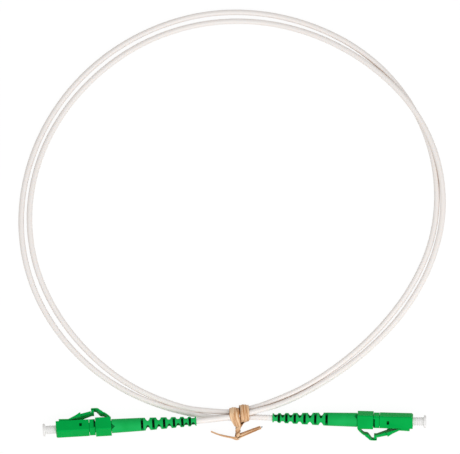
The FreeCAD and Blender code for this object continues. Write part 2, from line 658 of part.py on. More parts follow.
def make_yarn_flare(label):
    """The cable's yarn, folded out over the stem under the crimp sleeve."""
    body = new_body(label)
    front = CLIP_SEAT_END + 2 * SEAM
    bend = STEM_END + FIT_GAP
    rear = JACKET_FRONT - FIT_GAP
    points = [
        (front, YARN_INNER),
        (bend, YARN_INNER),
        (rear - SEAM, CABLE_YARN_INNER),
        (rear, CABLE_YARN_INNER),
        (rear, CABLE_YARN_OUTER),
        (rear - SEAM / 2, CABLE_YARN_OUTER + YARN_WALL / 2),
        (bend + YARN_WALL, YARN_OUTER),
        (front, YARN_OUTER),
    ]
    turn(body, points, "flare")
    return body


def boot_radius(along):
    """The boot's radius at a distance from its base, past its plain stretch."""
    taper = (BOOT_WAIST_DIA - BOOT_END_DIA) / 2 / (BOOT_LENGTH - BOOT_PLAIN)
    return BOOT_WAIST_DIA / 2 - taper * (along - BOOT_PLAIN)


def make_boot(label):
    """Bend-limiting boot, with slots in its sides and notches above and below, closer and closer."""
    body = new_body(label)
    cavity = CRIMP_OUTER + BOOT_CLEARANCE
    points = [
        (BOOT_BASE, cavity),
        (BOOT_BASE + BOOT_CAVITY, cavity),
        (BOOT_BASE + BOOT_CAVITY, BOOT_BORE),
        (BOOT_END, BOOT_BORE),
        (BOOT_END, BOOT_END_DIA / 2),
        (BOOT_BASE + BOOT_PLAIN, BOOT_WAIST_DIA / 2),
        (BOOT_BASE, BOOT_BASE_DIA / 2),
    ]
    turn(body, points, "taper")
    at = BOOT_PLAIN + SLOT_START
    pitches = 1
    for _ in range(SLOT_COUNT - 1):
        pitches = 1 + SLOT_RATIO * pitches
    pitch = (BOOT_LENGTH - at) / pitches
    for i in range(SLOT_COUNT):
        slot = sketch_on(body, "XY_Plane", f"slot_{i + 1}_outline")
        middle = BOOT_BASE + at
        half = SLOT_WIDTH / 2
        for low, high in ((BOOT_CORE, BOOT_BASE_DIA), (-BOOT_BASE_DIA, -BOOT_CORE)):
            rectangle(slot, middle - half, middle + half, low, high)
        pocket(body, slot, f"slot_{i + 1}", 2 * (boot_radius(at) - SLOT_WEB))
        notch = sketch_on(body, "XZ_Plane", f"notch_{i + 1}_outline")
        beyond = at + pitch / 2
        middle = BOOT_BASE + beyond
        half = NOTCH_WIDTH / 2
        floor = boot_radius(beyond) - NOTCH_DEPTH
        if number(floor) < number(NOTCH_FLOOR):
            floor = NOTCH_FLOOR
        for low, high in ((floor, BOOT_BASE_DIA), (-BOOT_BASE_DIA, -floor)):
            rectangle(notch, middle - half, middle + half, low, high)
        pocket(body, notch, f"notch_{i + 1}", 2 * BOOT_BASE_DIA)
        at = at + pitch
        pitch = pitch * SLOT_RATIO
    return body


def biarc(start, leaving, end, arriving):
    """Two arcs that join two points, tangent to a direction at each and to one another."""
    chord = end - start
    both = leaving + arriving
    bend = 2 * (1 - leaving.dot(arriving))
    across = chord.dot(both)
    reach = chord.dot(chord)
    if bend < 1e-9:
        arm = reach / (2 * across)
    else:
        arm = (math.sqrt(across * across + bend * reach) - across) / bend
    middle = (start + leaving * arm + end - arriving * arm) * 0.5
    return [arc(start, leaving, middle), arc(end, -arriving, middle)]


def arc(start, leaving, end):
    """The arc, or the straight run, that leaves start in a direction and ends at a point."""
    chord = end - start
    inward = chord - leaving * chord.dot(leaving)
    if inward.Length < 1e-7:
        return Part.LineSegment(start, end).toShape()
    inward.normalize()
    radius = chord.dot(chord) / (2 * chord.dot(inward))
    centre = start + inward * radius
    outward = (start + end) * 0.5 - centre
    outward.normalize()
    return Part.Arc(start, centre + outward * radius, end).toShape()


def path_through(stations):
    """One smooth wire of biarcs through (point, direction) stations, in order."""
    edges = []
    for (start, leaving), (end, arriving) in zip(stations, stations[1:]):
        edges += biarc(start, leaving, end, arriving)
    return Part.Wire(edges)


def swept(wire, start, outer, inner=0.0):
    """A tube, or a rod where inner is nothing, along a wire, with its volume tested."""
    point, direction = start
    outside = wire.makePipeShell([Part.Wire([Part.makeCircle(outer, point, direction)])], False, False)
    inside = None
    if inner:
        inside = wire.makePipeShell([Part.Wire([Part.makeCircle(inner, point, direction)])], False, False)
    faces = list(outside.Faces) + (list(inside.Faces) if inside else [])
    for end in (wire.OrderedVertexes[0].Point, wire.OrderedVertexes[-1].Point):
        rims = [rim_at(outside, end)] + ([rim_at(inside, end)] if inside else [])
        faces.append(Part.Face([Part.Wire([rim]) for rim in rims]))
    solid = Part.Solid(Part.Shell(faces))
    solid.fix(1e-6, 1e-6, 1e-6)
    wanted = math.pi * (outer**2 - inner**2) * wire.Length
    if abs(solid.Volume - wanted) > 0.001 * wanted:
        raise RuntimeError(f"swept volume {solid.Volume:.3f}, wanted {wanted:.3f}")
    return solid


def rim_at(shell, point):
    """The round edge of an open shell that is centred on a point."""
    for edge in shell.Edges:
        if isinstance(edge.Curve, Part.Circle) and edge.Curve.Center.distanceToPoint(point) < 1e-5:
            return edge
    raise RuntimeError("the tube has no rim at its end")


def make_spring(label):
    """Coil spring behind the ferrule, its turns made of half turns."""
    radius = number(SPRING_DIA) / 2 - number(SPRING_WIRE) / 2
    start_at = number(COLLAR_REAR) + number(SPRING_WIRE) / 2 + 2 * number(FIT_GAP)
    end_at = number(SPRING_REAR) - number(SPRING_WIRE) / 2 - 2 * number(FIT_GAP)
    halves = int(round(2 * number(SPRING_TURNS)))
    step = (end_at - start_at) / halves
    stations = []
    for i in range(halves + 1):
        side = 1 if i % 2 == 0 else -1
        direction = Vector(step / math.pi, 0, side * radius)
        direction.normalize()
        stations.append((Vector(start_at + i * step, side * radius, 0), direction))
    spring = doc.addObject("Part::Feature", label)
    spring.Label = label
    spring.Shape = swept(path_through(stations), stations[0], number(SPRING_WIRE) / 2)
    return spring


MAKERS = [
    ("dust_cap", make_dust_cap),
    ("plug_housing", make_plug_housing),
    ("latch_arm", make_latch_arm),
    ("ferrule", make_ferrule),
    ("bare_fibre", make_bare_fibre),
    ("ferrule_holder", make_ferrule_holder),
    ("ferrule_spring", make_spring),
    ("guide_tube", make_guide_tube),
    ("backbone", make_backbone),
    ("trigger_clip", make_trigger_clip),
    ("trigger_lever", make_trigger_lever),
    ("crimp_sleeve", make_crimp_sleeve),
    ("yarn_flare", make_yarn_flare),
    ("boot", make_boot),
]


def plug_placement(exit_x, exit_y, heading, pitch):
    """Where a plug lies, from where its cable leaves the boot: its lever's edge is on the floor."""
    roll = math.radians(number(PLUG_ROLL))
    dip = math.radians(number(pitch))
    height = 0.0
    for along, up in LEVER_CREST:
        below = number(up) * math.sin(roll) + number(LEVER_WIDTH) / 2 * math.cos(roll)
        back = number(BOOT_END) - number(along)
        height = max(height, below * math.cos(dip) - back * math.sin(dip))
    turned = FreeCAD.Rotation(number(heading), number(pitch), -(90 + number(PLUG_ROLL)))
    exit_point = Vector(number(exit_x), number(exit_y), height)
    return FreeCAD.Placement(exit_point - turned.multVec(Vector(number(BOOT_END), 0, 0)), turned)


PLACEMENTS = {
    "a": plug_placement(EXIT_A_X, EXIT_A_Y, HEADING_A, PITCH_A),
    "b": plug_placement(EXIT_B_X, EXIT_B_Y, HEADING_B, PITCH_B),
}


def on_plug(side, along):
    """A point on a plug's axis and the direction from its tip to its boot."""
    placement = PLACEMENTS[side]
    return placement.multVec(Vector(number(along), 0, 0)), placement.Rotation.multVec(Vector(1, 0, 0))


# Heights of the strands above the floor
FLAT = CABLE_RADIUS
STACK = CORD_DIA + STRAND_GAP
TIED_LOW = RIBBON_LIFT + RIBBON_THICK + RIBBON_SLACK + CABLE_RADIUS
TIED_HIGH = TIED_LOW + STACK
OVER = FLAT + STACK


def station(x, y, z, heading, climb=0.0):
    """A point of the coil and the direction of the cable there."""
    angle = math.radians(heading)
    direction = Vector(math.cos(angle), math.sin(angle), climb)
    direction.normalize()
    return Vector(number(x), number(y), number(z)), direction


# The two turns of the coil: how far each reaches in front, to the right, to the back and to the left,
# each (x, y, z, heading in degrees). The first turn is the outer one on the right, the inner one
# elsewhere, so the second crosses over it once.
TURNS = [
    [
        (39.2, 20.1, FLAT + STACK / 3, 35.0),
        (75.6, 81.1, FLAT, 90.0),
        (0.4, 146.6, FLAT, 180.0),
        (-74.95, 75.8, FLAT, 270.0),
        (-25.6, 8.7, FLAT, 341.0),
    ],
    [
        (37.2, 22.6, FLAT, 38.0),
        (72.9, 83.5, FLAT + STACK / 2, 90.0),
        (64.7, 114.9, OVER, 120.5),
        (-0.7, 150.0, FLAT, 180.0),
        (-78.1, 73.6, FLAT, 270.0),
        (-26.5, 6.2, FLAT, 342.4),
    ],
]

# The three strands under the tie, from plug A to plug B, at the tie's left and right edges
TIE_LEFT = -2.5
TIE_RIGHT = 5.45
STRANDS = [
    ((TIE_LEFT, 2.35, TIED_HIGH, 11.0), (TIE_RIGHT, 4.15, TIED_HIGH, 16.0, -0.03)),
    ((TIE_LEFT, 4.9, TIED_LOW, 2.0), (TIE_RIGHT, 5.6, TIED_LOW, 16.0, -0.03)),
    ((TIE_LEFT, 2.3, TIED_LOW, 0.0), (TIE_RIGHT, 2.4, TIED_LOW, 0.0)),
]


# The tie's tails: left tip, knot and right tip, each (x, y, heading in degrees)
TAIL_STATIONS = [(-8.8, -2.8, -15.0), (0.2, -4.6, 2.0), (9.3, -1.2, 21.0)]


def coil_stations():
    """The free cable from boot A, twice round and through the tie three times, to boot B."""
    route = []
    for strand, reaches in zip(STRANDS, TURNS):
        route += [*strand, *reaches]
    route += STRANDS[-1]
    return [station(*place) for place in route]


def cable_stations(front):
    """The whole path of one layer of the cable, from a distance along plug A to the same on B."""
    straight = number(CORD_DIA)
    start, into = on_plug("a", number(front))
    leave = on_plug("a", number(BOOT_END) + straight)
    arrive = on_plug("b", number(BOOT_END) + straight)
    end, out = on_plug("b", number(front))
    return [(start, into), leave] + coil_stations() + [(arrive[0], -arrive[1]), (end, -out)]


def bored(solid, side):
    """The coated fibre with the fine bore that takes the bare fibre's end, on one plug's side."""
    start, into = on_plug(side, number(BUFFER_FRONT))
    depth = number(BARE_REAR - BUFFER_FRONT + FERRULE_TRAVEL + FIT_GAP)
    return solid.cut(Part.makeCylinder(number(FIBRE_DIA + LAYER_GAP) / 2, depth, start, into))


def least_gap(wire):
    """The least clear space between two strands of the coil, measured on points one millimetre apart."""
    points = wire.discretize(Distance=1.0)
    apart = 12
    least = min(
        (one - other).Length
        for i, one in enumerate(points)
        for other in points[i + apart :]
    )
    return least - number(CORD_DIA)


def make_cable():
    """Jacket, yarn and coated fibre, each one unbroken tube along the same route."""
    made = []
    layers = [
        ("cable_jacket", JACKET_FRONT, CABLE_RADIUS, JACKET_BORE),
        ("aramid_yarn", JACKET_FRONT, CABLE_YARN_OUTER, CABLE_YARN_INNER),
        ("buffered_fibre", BUFFER_FRONT, BUFFER_DIA / 2, 0.0),
    ]
    for label, front, outer, inner in layers:
        stations = cable_stations(front)
        wire = path_through(stations)
        layer = doc.addObject("Part::Feature", label)
        layer.Label = label
        layer.Shape = swept(wire, stations[0], number(outer), number(inner))
        if not inner:
            layer.Shape = bored(bored(layer.Shape, "a"), "b")
        made.append(layer)
        if label == "cable_jacket":
            radii = [edge.Curve.Radius for edge in wire.Edges if isinstance(edge.Curve, Part.Circle)]
            print("cable arcs, radii in mm:", " ".join(f"{radius:.1f}" for radius in radii))
            print(f"cable between the two jacket ends: {wire.Length:.1f} mm")
            print(f"least gap of the coil to itself: {least_gap(wire):.2f} mm")
            print(f"jacket volume: {layer.Shape.Volume:.2f} cubic mm")
    return made


def strands_at(x):
    """The (y, z) of the three strands under the tie, at a place along X."""
    share = (x - TIE_LEFT) / (TIE_RIGHT - TIE_LEFT)
    return [(left[1] + (right[1] - left[1]) * share, number(left[2])) for left, right in STRANDS]


def wrap(x, width):
    """One wrap of the ribbon: a rounded band round three strands, leaning as they do."""
    rise = [right[1] - left[1] for left, right in STRANDS]
    lean = sum(rise) / len(rise) / (TIE_RIGHT - TIE_LEFT) * width
    corners = [Vector(x, y - lean / 2, z) for y, z in strands_at(x + width / 2)]
    triangle = Part.Wire(Part.makePolygon(corners + corners[:1]))
    inner = number(CABLE_RADIUS) + number(RIBBON_SLACK)
    outside = Part.Face(triangle.makeOffset2D(inner + number(RIBBON_THICK)))
    band = outside.cut(Part.Face(triangle.makeOffset2D(inner)))
    return band.Faces[0].extrude(Vector(width, lean, 0))


def tail_path(beyond):
    """The tie's two tails as one gentle bend through the knot, in the middle of the ribbon."""
    middle = number(RIBBON_LIFT) + number(TAIL_WIDTH) / 2
    stations = [station(x, y, middle, heading) for x, y, heading in TAIL_STATIONS]
    end, direction = stations[-1]
    wire = path_through(stations)
    if beyond:
        run = Part.LineSegment(end, end + direction * beyond).toShape()
        wire = Part.Wire(wire.OrderedEdges + [run])
    return wire, stations[0]


def make_tie():
    """Paper twist tie: two wraps round the strands, a twisted neck, two tails and their wire."""
    width = number(RIBBON_WIDTH)
    thick = number(RIBBON_THICK)
    wraps = [wrap(TIE_LEFT + number(WRAP_INSET), width)]
    wraps.append(wrap(TIE_LEFT + number(WRAP_INSET) + width + number(WRAP_GAP), width))
    knot_x, knot_y, _ = TAIL_STATIONS[1]
    neck_end = strands_at(knot_x)[-1][0] - number(CABLE_RADIUS) - number(RIBBON_SLACK) - thick / 4
    corner = Vector(knot_x, knot_y, number(RIBBON_LIFT) + number(TAIL_WIDTH) / 2 - number(NECK_THICK) / 2)
    neck = Part.makeBox(number(NECK_BREADTH), neck_end - knot_y, number(NECK_THICK), corner)
    tails, (start, direction) = tail_path(0.0)
    across = Vector(-direction.y, direction.x, 0) * (thick / 2)
    upward = Vector(0, 0, number(TAIL_WIDTH) / 2)
    corners = [start + across + upward, start - across + upward, start - across - upward]
    corners.append(start + across - upward)
    section = Part.Wire(Part.makePolygon(corners + corners[:1]))
    strip = tails.makePipeShell([section], True, False)
    ribbon = doc.addObject("Part::Feature", "tie_ribbon")
    ribbon.Label = "tie_ribbon"
    ribbon.Shape = wraps[0].fuse([wraps[1], neck, strip]).removeSplitter()
    core = doc.addObject("Part::Feature", "tie_wire")
    core.Label = "tie_wire"
    path, begin = tail_path(number(WIRE_BARE))
    core.Shape = swept(path, begin, number(TIE_WIRE_DIA) / 2)
    return [ribbon, core]


def make_plugs():
    """Both plugs, every piece made in the plug's own frame and then placed."""
    made = []
    for side in ("a", "b"):
        for name, maker in MAKERS:
            piece = maker(f"{name}_{side}")
            piece.Placement = PLACEMENTS[side]
            made.append(piece)
    return made


def write_parts(made):
    """Test every feature and every piece, then write each piece to a file named after it."""
    doc.recompute()
    for item in doc.Objects:
        if "Invalid" in item.State or "Error" in item.State:
            raise RuntimeError(f"{item.Label} failed: {item.State}")
    for piece in made:
        shape = piece.Shape
        if shape.isNull() or not shape.isValid() or not shape.Solids:
            raise RuntimeError(f"{piece.Label} is not a sound solid")
        print(f"{piece.Label}: {len(shape.Solids)} solid, {shape.Volume:.3f} cubic mm")
    os.makedirs("parts", exist_ok=True)
    for piece in made:
        piece.Shape.exportStep(f"parts/{piece.Label}.step")


write_parts(make_plugs() + make_cable() + make_tie())
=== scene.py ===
"""Fibre optic patch cord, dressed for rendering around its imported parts.

Everything is in metres in the parts' own frame: the floor is z = 0, +X runs from plug A to plug B
and +Y from the plugs towards the coil. Lengths below are written in millimetres and turned to metres
by MM. A plug's own frame has s along its axis from the front face towards the cable, y across it and
u out of the face that carries the latch.
"""

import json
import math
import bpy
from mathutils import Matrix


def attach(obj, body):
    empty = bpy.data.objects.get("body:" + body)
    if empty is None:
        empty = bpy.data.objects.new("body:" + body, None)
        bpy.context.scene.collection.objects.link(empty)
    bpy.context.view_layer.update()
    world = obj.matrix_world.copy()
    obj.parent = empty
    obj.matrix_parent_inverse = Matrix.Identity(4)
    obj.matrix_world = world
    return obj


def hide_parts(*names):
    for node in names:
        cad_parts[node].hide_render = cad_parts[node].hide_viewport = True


bl_info = {
    "name": "Fibre Optic Patch Cord",
    "version": (1, 0, 0),
    "blender": (4, 5, 0),
    "location": "3D View > Sidebar > Patch Cord",
    "description": "Square green plugs, two loose turns of white cable and a kraft twist tie",
    "category": "Add Mesh",
}

import bmesh
import bpy
import numpy as np
from bpy.props import FloatProperty, FloatVectorProperty, IntProperty, PointerProperty
from bpy.types import Operator, Panel, PropertyGroup
from mathutils import Vector

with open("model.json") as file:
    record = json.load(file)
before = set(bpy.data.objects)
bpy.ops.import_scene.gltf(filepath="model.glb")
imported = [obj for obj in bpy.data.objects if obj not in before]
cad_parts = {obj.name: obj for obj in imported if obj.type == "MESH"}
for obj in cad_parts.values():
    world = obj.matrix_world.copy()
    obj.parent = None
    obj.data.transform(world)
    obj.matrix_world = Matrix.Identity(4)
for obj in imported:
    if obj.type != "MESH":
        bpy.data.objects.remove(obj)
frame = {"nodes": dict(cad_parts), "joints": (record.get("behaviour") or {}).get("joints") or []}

MM = 0.001
SIDES = ("a", "b")

# The photograph's frame in pixels, and how many of them one millimetre of the floor takes
PICTURE_WIDTH = 460
PIXELS_PER_MM = 2.75

# The latch bends this far behind a plug's front face and out from its axis, in millimetres
LATCH_BEND = (4.75, 2.615)

# How far the camera leans from straight above, and the edges that count as hard, in degrees
CAMERA_TILT = 7.0
HARD_EDGE = 32.0
CREASE_EDGE = 35.0


def linear(code):
    """An sRGB hex colour as linear red, green and blue."""
    shares = [int(code[i : i + 2], 16) / 255 for i in (1, 3, 5)]
    return tuple(c / 12.92 if c <= 0.04045 else ((c + 0.055) / 1.055) ** 2.4 for c in shares)


def joint(name):
    """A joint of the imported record, by name."""
    return next(item for item in frame["joints"] if item["name"] == name)


def plug_axes(side):
    """Origin and the s, y and u directions of a plug's own frame, from its joints."""
    along = np.array(joint(f"ferrule_slide_{side}")["axis"], float)
    across = np.array(joint(f"latch_hinge_{side}")["axis"], float)
    outward = np.cross(along, across)
    bend = np.array(joint(f"latch_hinge_{side}")["pos_m"], float)
    behind, out = (distance * MM for distance in LATCH_BEND)
    return bend - behind * along - out * outward, along, across, outward


AXES = {side: plug_axes(side) for side in SIDES}


def on_plug(side, s, y=0.0, u=0.0):
    """Points of a plug's frame, in millimetres, as points of the scene in metres."""
    origin, along, across, outward = AXES[side]
    s, y, u = np.broadcast_arrays(np.asarray(s, float), y, u)
    steps = s[..., None] * along + y[..., None] * across + u[..., None] * outward
    return origin + MM * steps


# Meshes


def add_object(name, data):
    """Link a new object for a mesh, curve, lamp or camera and return it."""
    made = bpy.data.objects.new(name, data)
    bpy.context.scene.collection.objects.link(made)
    return made


def tidy_mesh(mesh, flat=False, sharp=CREASE_EDGE):
    """Merge doubled points, turn faces outwards and mark edges sharper than an angle."""
    work = bmesh.new()
    work.from_mesh(mesh)
    bmesh.ops.remove_doubles(work, verts=work.verts, dist=1e-6)
    bmesh.ops.recalc_face_normals(work, faces=work.faces)
    if flat:
        bmesh.ops.dissolve_limit(
            work, angle_limit=math.radians(0.5), verts=work.verts, edges=work.edges
        )
    work.to_mesh(mesh)
    work.free()
    mesh.shade_smooth()
    mesh.set_sharp_from_angle(angle=math.radians(sharp))
    mesh.update()


def grid_mesh(name, grid, caps=True, surface_map=None, painted_darkness=None):
    """A mesh over a grid of points: row i, column j is joined to its neighbours by quads.

    The last column joins the first, and caps fill the first and last row. A surface map is a UV
    map's name and its u and v at every point of the grid. The darkness given for the points, kept as
    the attribute "depth", says from 0 to 1 how much painted shade each point gets, down in cuts and
    where a band is tucked under another.
    """
    rows, columns = grid.shape[:2]
    i, j = np.meshgrid(np.arange(rows - 1), np.arange(columns), indexing="ij")
    after = (j + 1) % columns
    quads = np.stack(
        [i * columns + j, i * columns + after, (i + 1) * columns + after, (i + 1) * columns + j],
        axis=-1,
    ).reshape(-1, 4)
    faces = quads.tolist()
    if caps:
        faces.append(list(range(columns))[::-1])
        faces.append(list(range((rows - 1) * columns, rows * columns)))
    mesh = bpy.data.meshes.new(name)
    mesh.from_pydata(grid.reshape(-1, 3).tolist(), [], faces)
    if surface_map:
        corners = np.zeros(len(mesh.loops), np.int32)
        mesh.loops.foreach_get("vertex_index", corners)
        layer = mesh.uv_layers.new(name=surface_map[0])
        layer.data.foreach_set("uv", surface_map[1].reshape(-1, 2)[corners].astype(np.float32).ravel())
    if painted_darkness is not None:
        mesh.attributes.new("depth", "FLOAT", "POINT").data.foreach_set("value", painted_darkness.ravel())
    tidy_mesh(mesh)
    return add_object(name, mesh)


def full_turn(steps):
    """Angles all the way round, the last one a step before the first."""
    return np.linspace(0, 2 * math.pi, steps, endpoint=False)


def turned(name, side, profile):
    """A profile of (s, radius) turned about a plug's axis: y = r cos a, u = r sin a."""
    s, radius = np.array(profile, float).T
    angle = full_turn(72)
    y = radius[:, None] * np.cos(angle)
    u = radius[:, None] * np.sin(angle)
    return grid_mesh(name, on_plug(side, s[:, None] + 0 * y, y, u), caps=False)


def spline(points, count):
    """Rows of a quadratic B-spline: each stretch blends three neighbours by half the square of
    (1 - t), half of (1 + 2t - 2t squared) and half of t squared; the ends are doubled."""
    p = np.array(points, float)
    p = np.vstack([p[:1], p, p[-1:]])
    at = np.linspace(0, len(p) - 2 - 1e-9, count)
    i = at.astype(int)
    t = (at - i)[:, None]
    return (1 - t) ** 2 / 2 * p[i] + (1 + 2 * t - 2 * t * t) / 2 * p[i + 1] + t * t / 2 * p[i + 2]


def unit(rows):
    """Rows scaled to length one."""
    return rows / np.linalg.norm(rows, axis=-1, keepdims=True)


def node_copy(node, name, bevel):
    """A merged copy of a CAD node with its hard edges rounded by a small bevel."""
    mesh = frame["nodes"][node].data.copy()
    mesh.name = name
    mesh.materials.clear()
    made = add_object(name, mesh)
    for layer in list(mesh.uv_layers):
        mesh.uv_layers.remove(layer)
    tidy_mesh(mesh, flat=True, sharp=HARD_EDGE)
    return rounded(made, bevel)


def rounded(made, width):
    """Round a piece's hard edges with a small bevel."""
    rounding = made.modifiers.new("Edge rounding", "BEVEL")
    rounding.width = width
    rounding.segments = 2
    rounding.limit_method = "ANGLE"
    rounding.angle_limit = math.radians(HARD_EDGE)
    rounding.harden_normals = True
    rounding.miter_outer = "MITER_ARC"
    return made


# Materials


def new_material(name):
    """An empty node material and its tree, ready for nodes."""
    material = bpy.data.materials.new(name)
    material.use_nodes = True
    material.node_tree.nodes.clear()
    return material, material.node_tree


def add(tree, kind, links=None, **settings):
    """Add a shader node: settings are its properties, links its sockets with a value or an output."""
    node = tree.nodes.new("ShaderNode" + kind)
    for key, value in settings.items():
        setattr(node, key, value)
    for key, value in (links or {}).items():
        if isinstance(value, bpy.types.NodeSocket):
            tree.links.new(value, node.inputs[key])
        else:
            node.inputs[key].default_value = value
    return node


def colour(value):
    """A colour with full alpha."""
    return (*tuple(value)[:3], 1.0)


def moulded(name, base, shade, roughness, grain, depth, level=0.5, painted_recess_shade=None, mapped=False):
    """A moulded plastic: a slow drift between two tones and a fine spark-eroded grain.

    grain is the size of the texture's bumps and depth their height, both in millimetres. The colour
    given for recesses is painted shade: narrow slots and corners are darkened towards it where
    ambient occlusion finds them closed in, or with mapped as far as the mesh's "depth" attribute says.
    """
    material, tree = new_material(name)
    place = add(tree, "TexCoord").outputs["Object"]
    drift = add(tree, "TexNoise", {"Vector": place, "Scale": 1 / (6 * MM), "Detail": 2.0})
    share = add(tree, "MapRange", {"Value": drift.outputs["Fac"], "From Min": 0.3, "From Max": 0.7})
    tint = add(
        tree, "Mix", {0: share.outputs["Result"], 6: colour(shade), 7: colour(base)}, data_type="RGBA"
    ).outputs[2]
    # Painted shade: narrow slots and corners are darkened towards the colour given for recesses.
    if painted_recess_shade:
        if mapped:
            near = add(tree, "Attribute", attribute_name="depth").outputs["Fac"]
            reach = {"From Min": 1.0, "From Max": 0.0}
        else:
            near = add(tree, "AmbientOcclusion", {"Distance": 1.3 * MM}, samples=8).outputs["AO"]
            reach = {"From Min": 0.15, "From Max": 0.72}
        open_share = add(tree, "MapRange", {"Value": near, **reach})
        tint = add(
            tree, "Mix", {0: open_share.outputs["Result"], 6: colour(painted_recess_shade), 7: tint}, data_type="RGBA"
        ).outputs[2]
    fine = add(tree, "TexNoise", {"Vector": place, "Scale": 1 / (grain * MM), "Detail": 3.0})
    bump = add(tree, "Bump", {"Height": fine.outputs["Fac"], "Distance": depth * MM, "Strength": 1.0})
    gloss = add(
        tree,
        "MapRange",
        {"Value": fine.outputs["Fac"], "To Min": roughness - 0.06, "To Max": roughness + 0.06},
    )
    shader = add(
        tree,
        "BsdfPrincipled",
        {
            "Base Color": tint,
            "Roughness": gloss.outputs["Result"],
            "Specular IOR Level": level,
            "Normal": bump.outputs["Normal"],
        },
    )
    add(tree, "OutputMaterial", {"Surface": shader.outputs[0]})
    return material


def metal(name, base, roughness, line, depth):
    """A drawn or turned metal: fine lines and a little patchiness in its gloss."""
    material, tree = new_material(name)
    place = add(tree, "TexCoord").outputs["Object"]
    lines = add(tree, "TexNoise", {"Vector": place, "Scale": 1 / (line * MM), "Detail": 4.0})
    bump = add(tree, "Bump", {"Height": lines.outputs["Fac"], "Distance": depth * MM, "Strength": 1.0})
    gloss = add(
        tree,
        "MapRange",
        {"Value": lines.outputs["Fac"], "To Min": roughness - 0.1, "To Max": roughness + 0.1},
    )
    shader = add(
        tree,
        "BsdfPrincipled",
        {
            "Base Color": colour(base),
            "Metallic": 1.0,
            "Roughness": gloss.outputs["Result"],
            "Normal": bump.outputs["Normal"],
        },
    )
    add(tree, "OutputMaterial", {"Surface": shader.outputs[0]})
    return material


def jacket_material(base, shade):
    """LSZH jacket, extruded: satin white, with a warm shade painted in where two turns lie side by side.

    The extruder's die leaves faint waves, drawn 1.5 mm long, and the drift of tone is a few
    centimetres long.
    """
    material, tree = new_material("LSZH jacket white")
    place = add(tree, "TexCoord").outputs["Object"]
    drift = add(tree, "TexNoise", {"Vector": place, "Scale": 1 / (30 * MM), "Detail": 1.0})
    # Painted shade: the white turns tan where ambient occlusion finds other surfaces close by.
    near = add(tree, "AmbientOcclusion", {"Distance": 2.6 * MM}, samples=16)
    share = add(tree, "MapRange", {"Value": near.outputs["AO"], "From Min": 0.1, "From Max": 0.5})
    outer = add(
        tree, "Mix", {0: drift.outputs["Fac"], 6: colour(shade), 7: colour(base)}, data_type="RGBA"
    )
    tint = add(
        tree,
        "Mix",
        {0: share.outputs["Result"], 6: colour(linear("#D2B294")), 7: outer.outputs[2]},
        data_type="RGBA",
    )
    waves = add(tree, "TexNoise", {"Vector": place, "Scale": 1 / (1.5 * MM), "Detail": 1.0})
    bump = add(tree, "Bump", {"Height": waves.outputs["Fac"], "Distance": 0.01 * MM, "Strength": 1.0})
    shader = add(
        tree,
        "BsdfPrincipled",
        {
            "Base Color": tint.outputs[2],
            "Roughness": 0.42,
            "IOR": 1.52,
            "Normal": bump.outputs["Normal"],
            "Subsurface Weight": 0.2,
            "Subsurface Radius": (1.0, 0.9, 0.8),
            "Subsurface Scale": 0.5 * MM,
        },
    )
    add(tree, "OutputMaterial", {"Surface": shader.outputs[0]})
    return material


def cap_material(base):
    """LDPE dust cap, moulded and unpigmented: milky, lets light through and scatters it."""
    material, tree = new_material("LDPE translucent")
    place = add(tree, "TexCoord").outputs["Object"]
    cloud = add(tree, "TexNoise", {"Vector": place, "Scale": 1 / (1.2 * MM), "Detail": 2.0})
    bump = add(tree, "Bump", {"Height": cloud.outputs["Fac"], "Distance": 0.02 * MM, "Strength": 1.0})
    shader = add(
        tree,
        "BsdfPrincipled",
        {
            "Base Color": colour(base),
            "Roughness": 0.38,
            "IOR": 1.51,
            "Normal": bump.outputs["Normal"],
            "Subsurface Weight": 0.2,
            "Subsurface Radius": (1.0, 1.0, 1.0),
            "Subsurface Scale": 0.3 * MM,
        },
    )
    add(tree, "OutputMaterial", {"Surface": shader.outputs[0]})
    return material


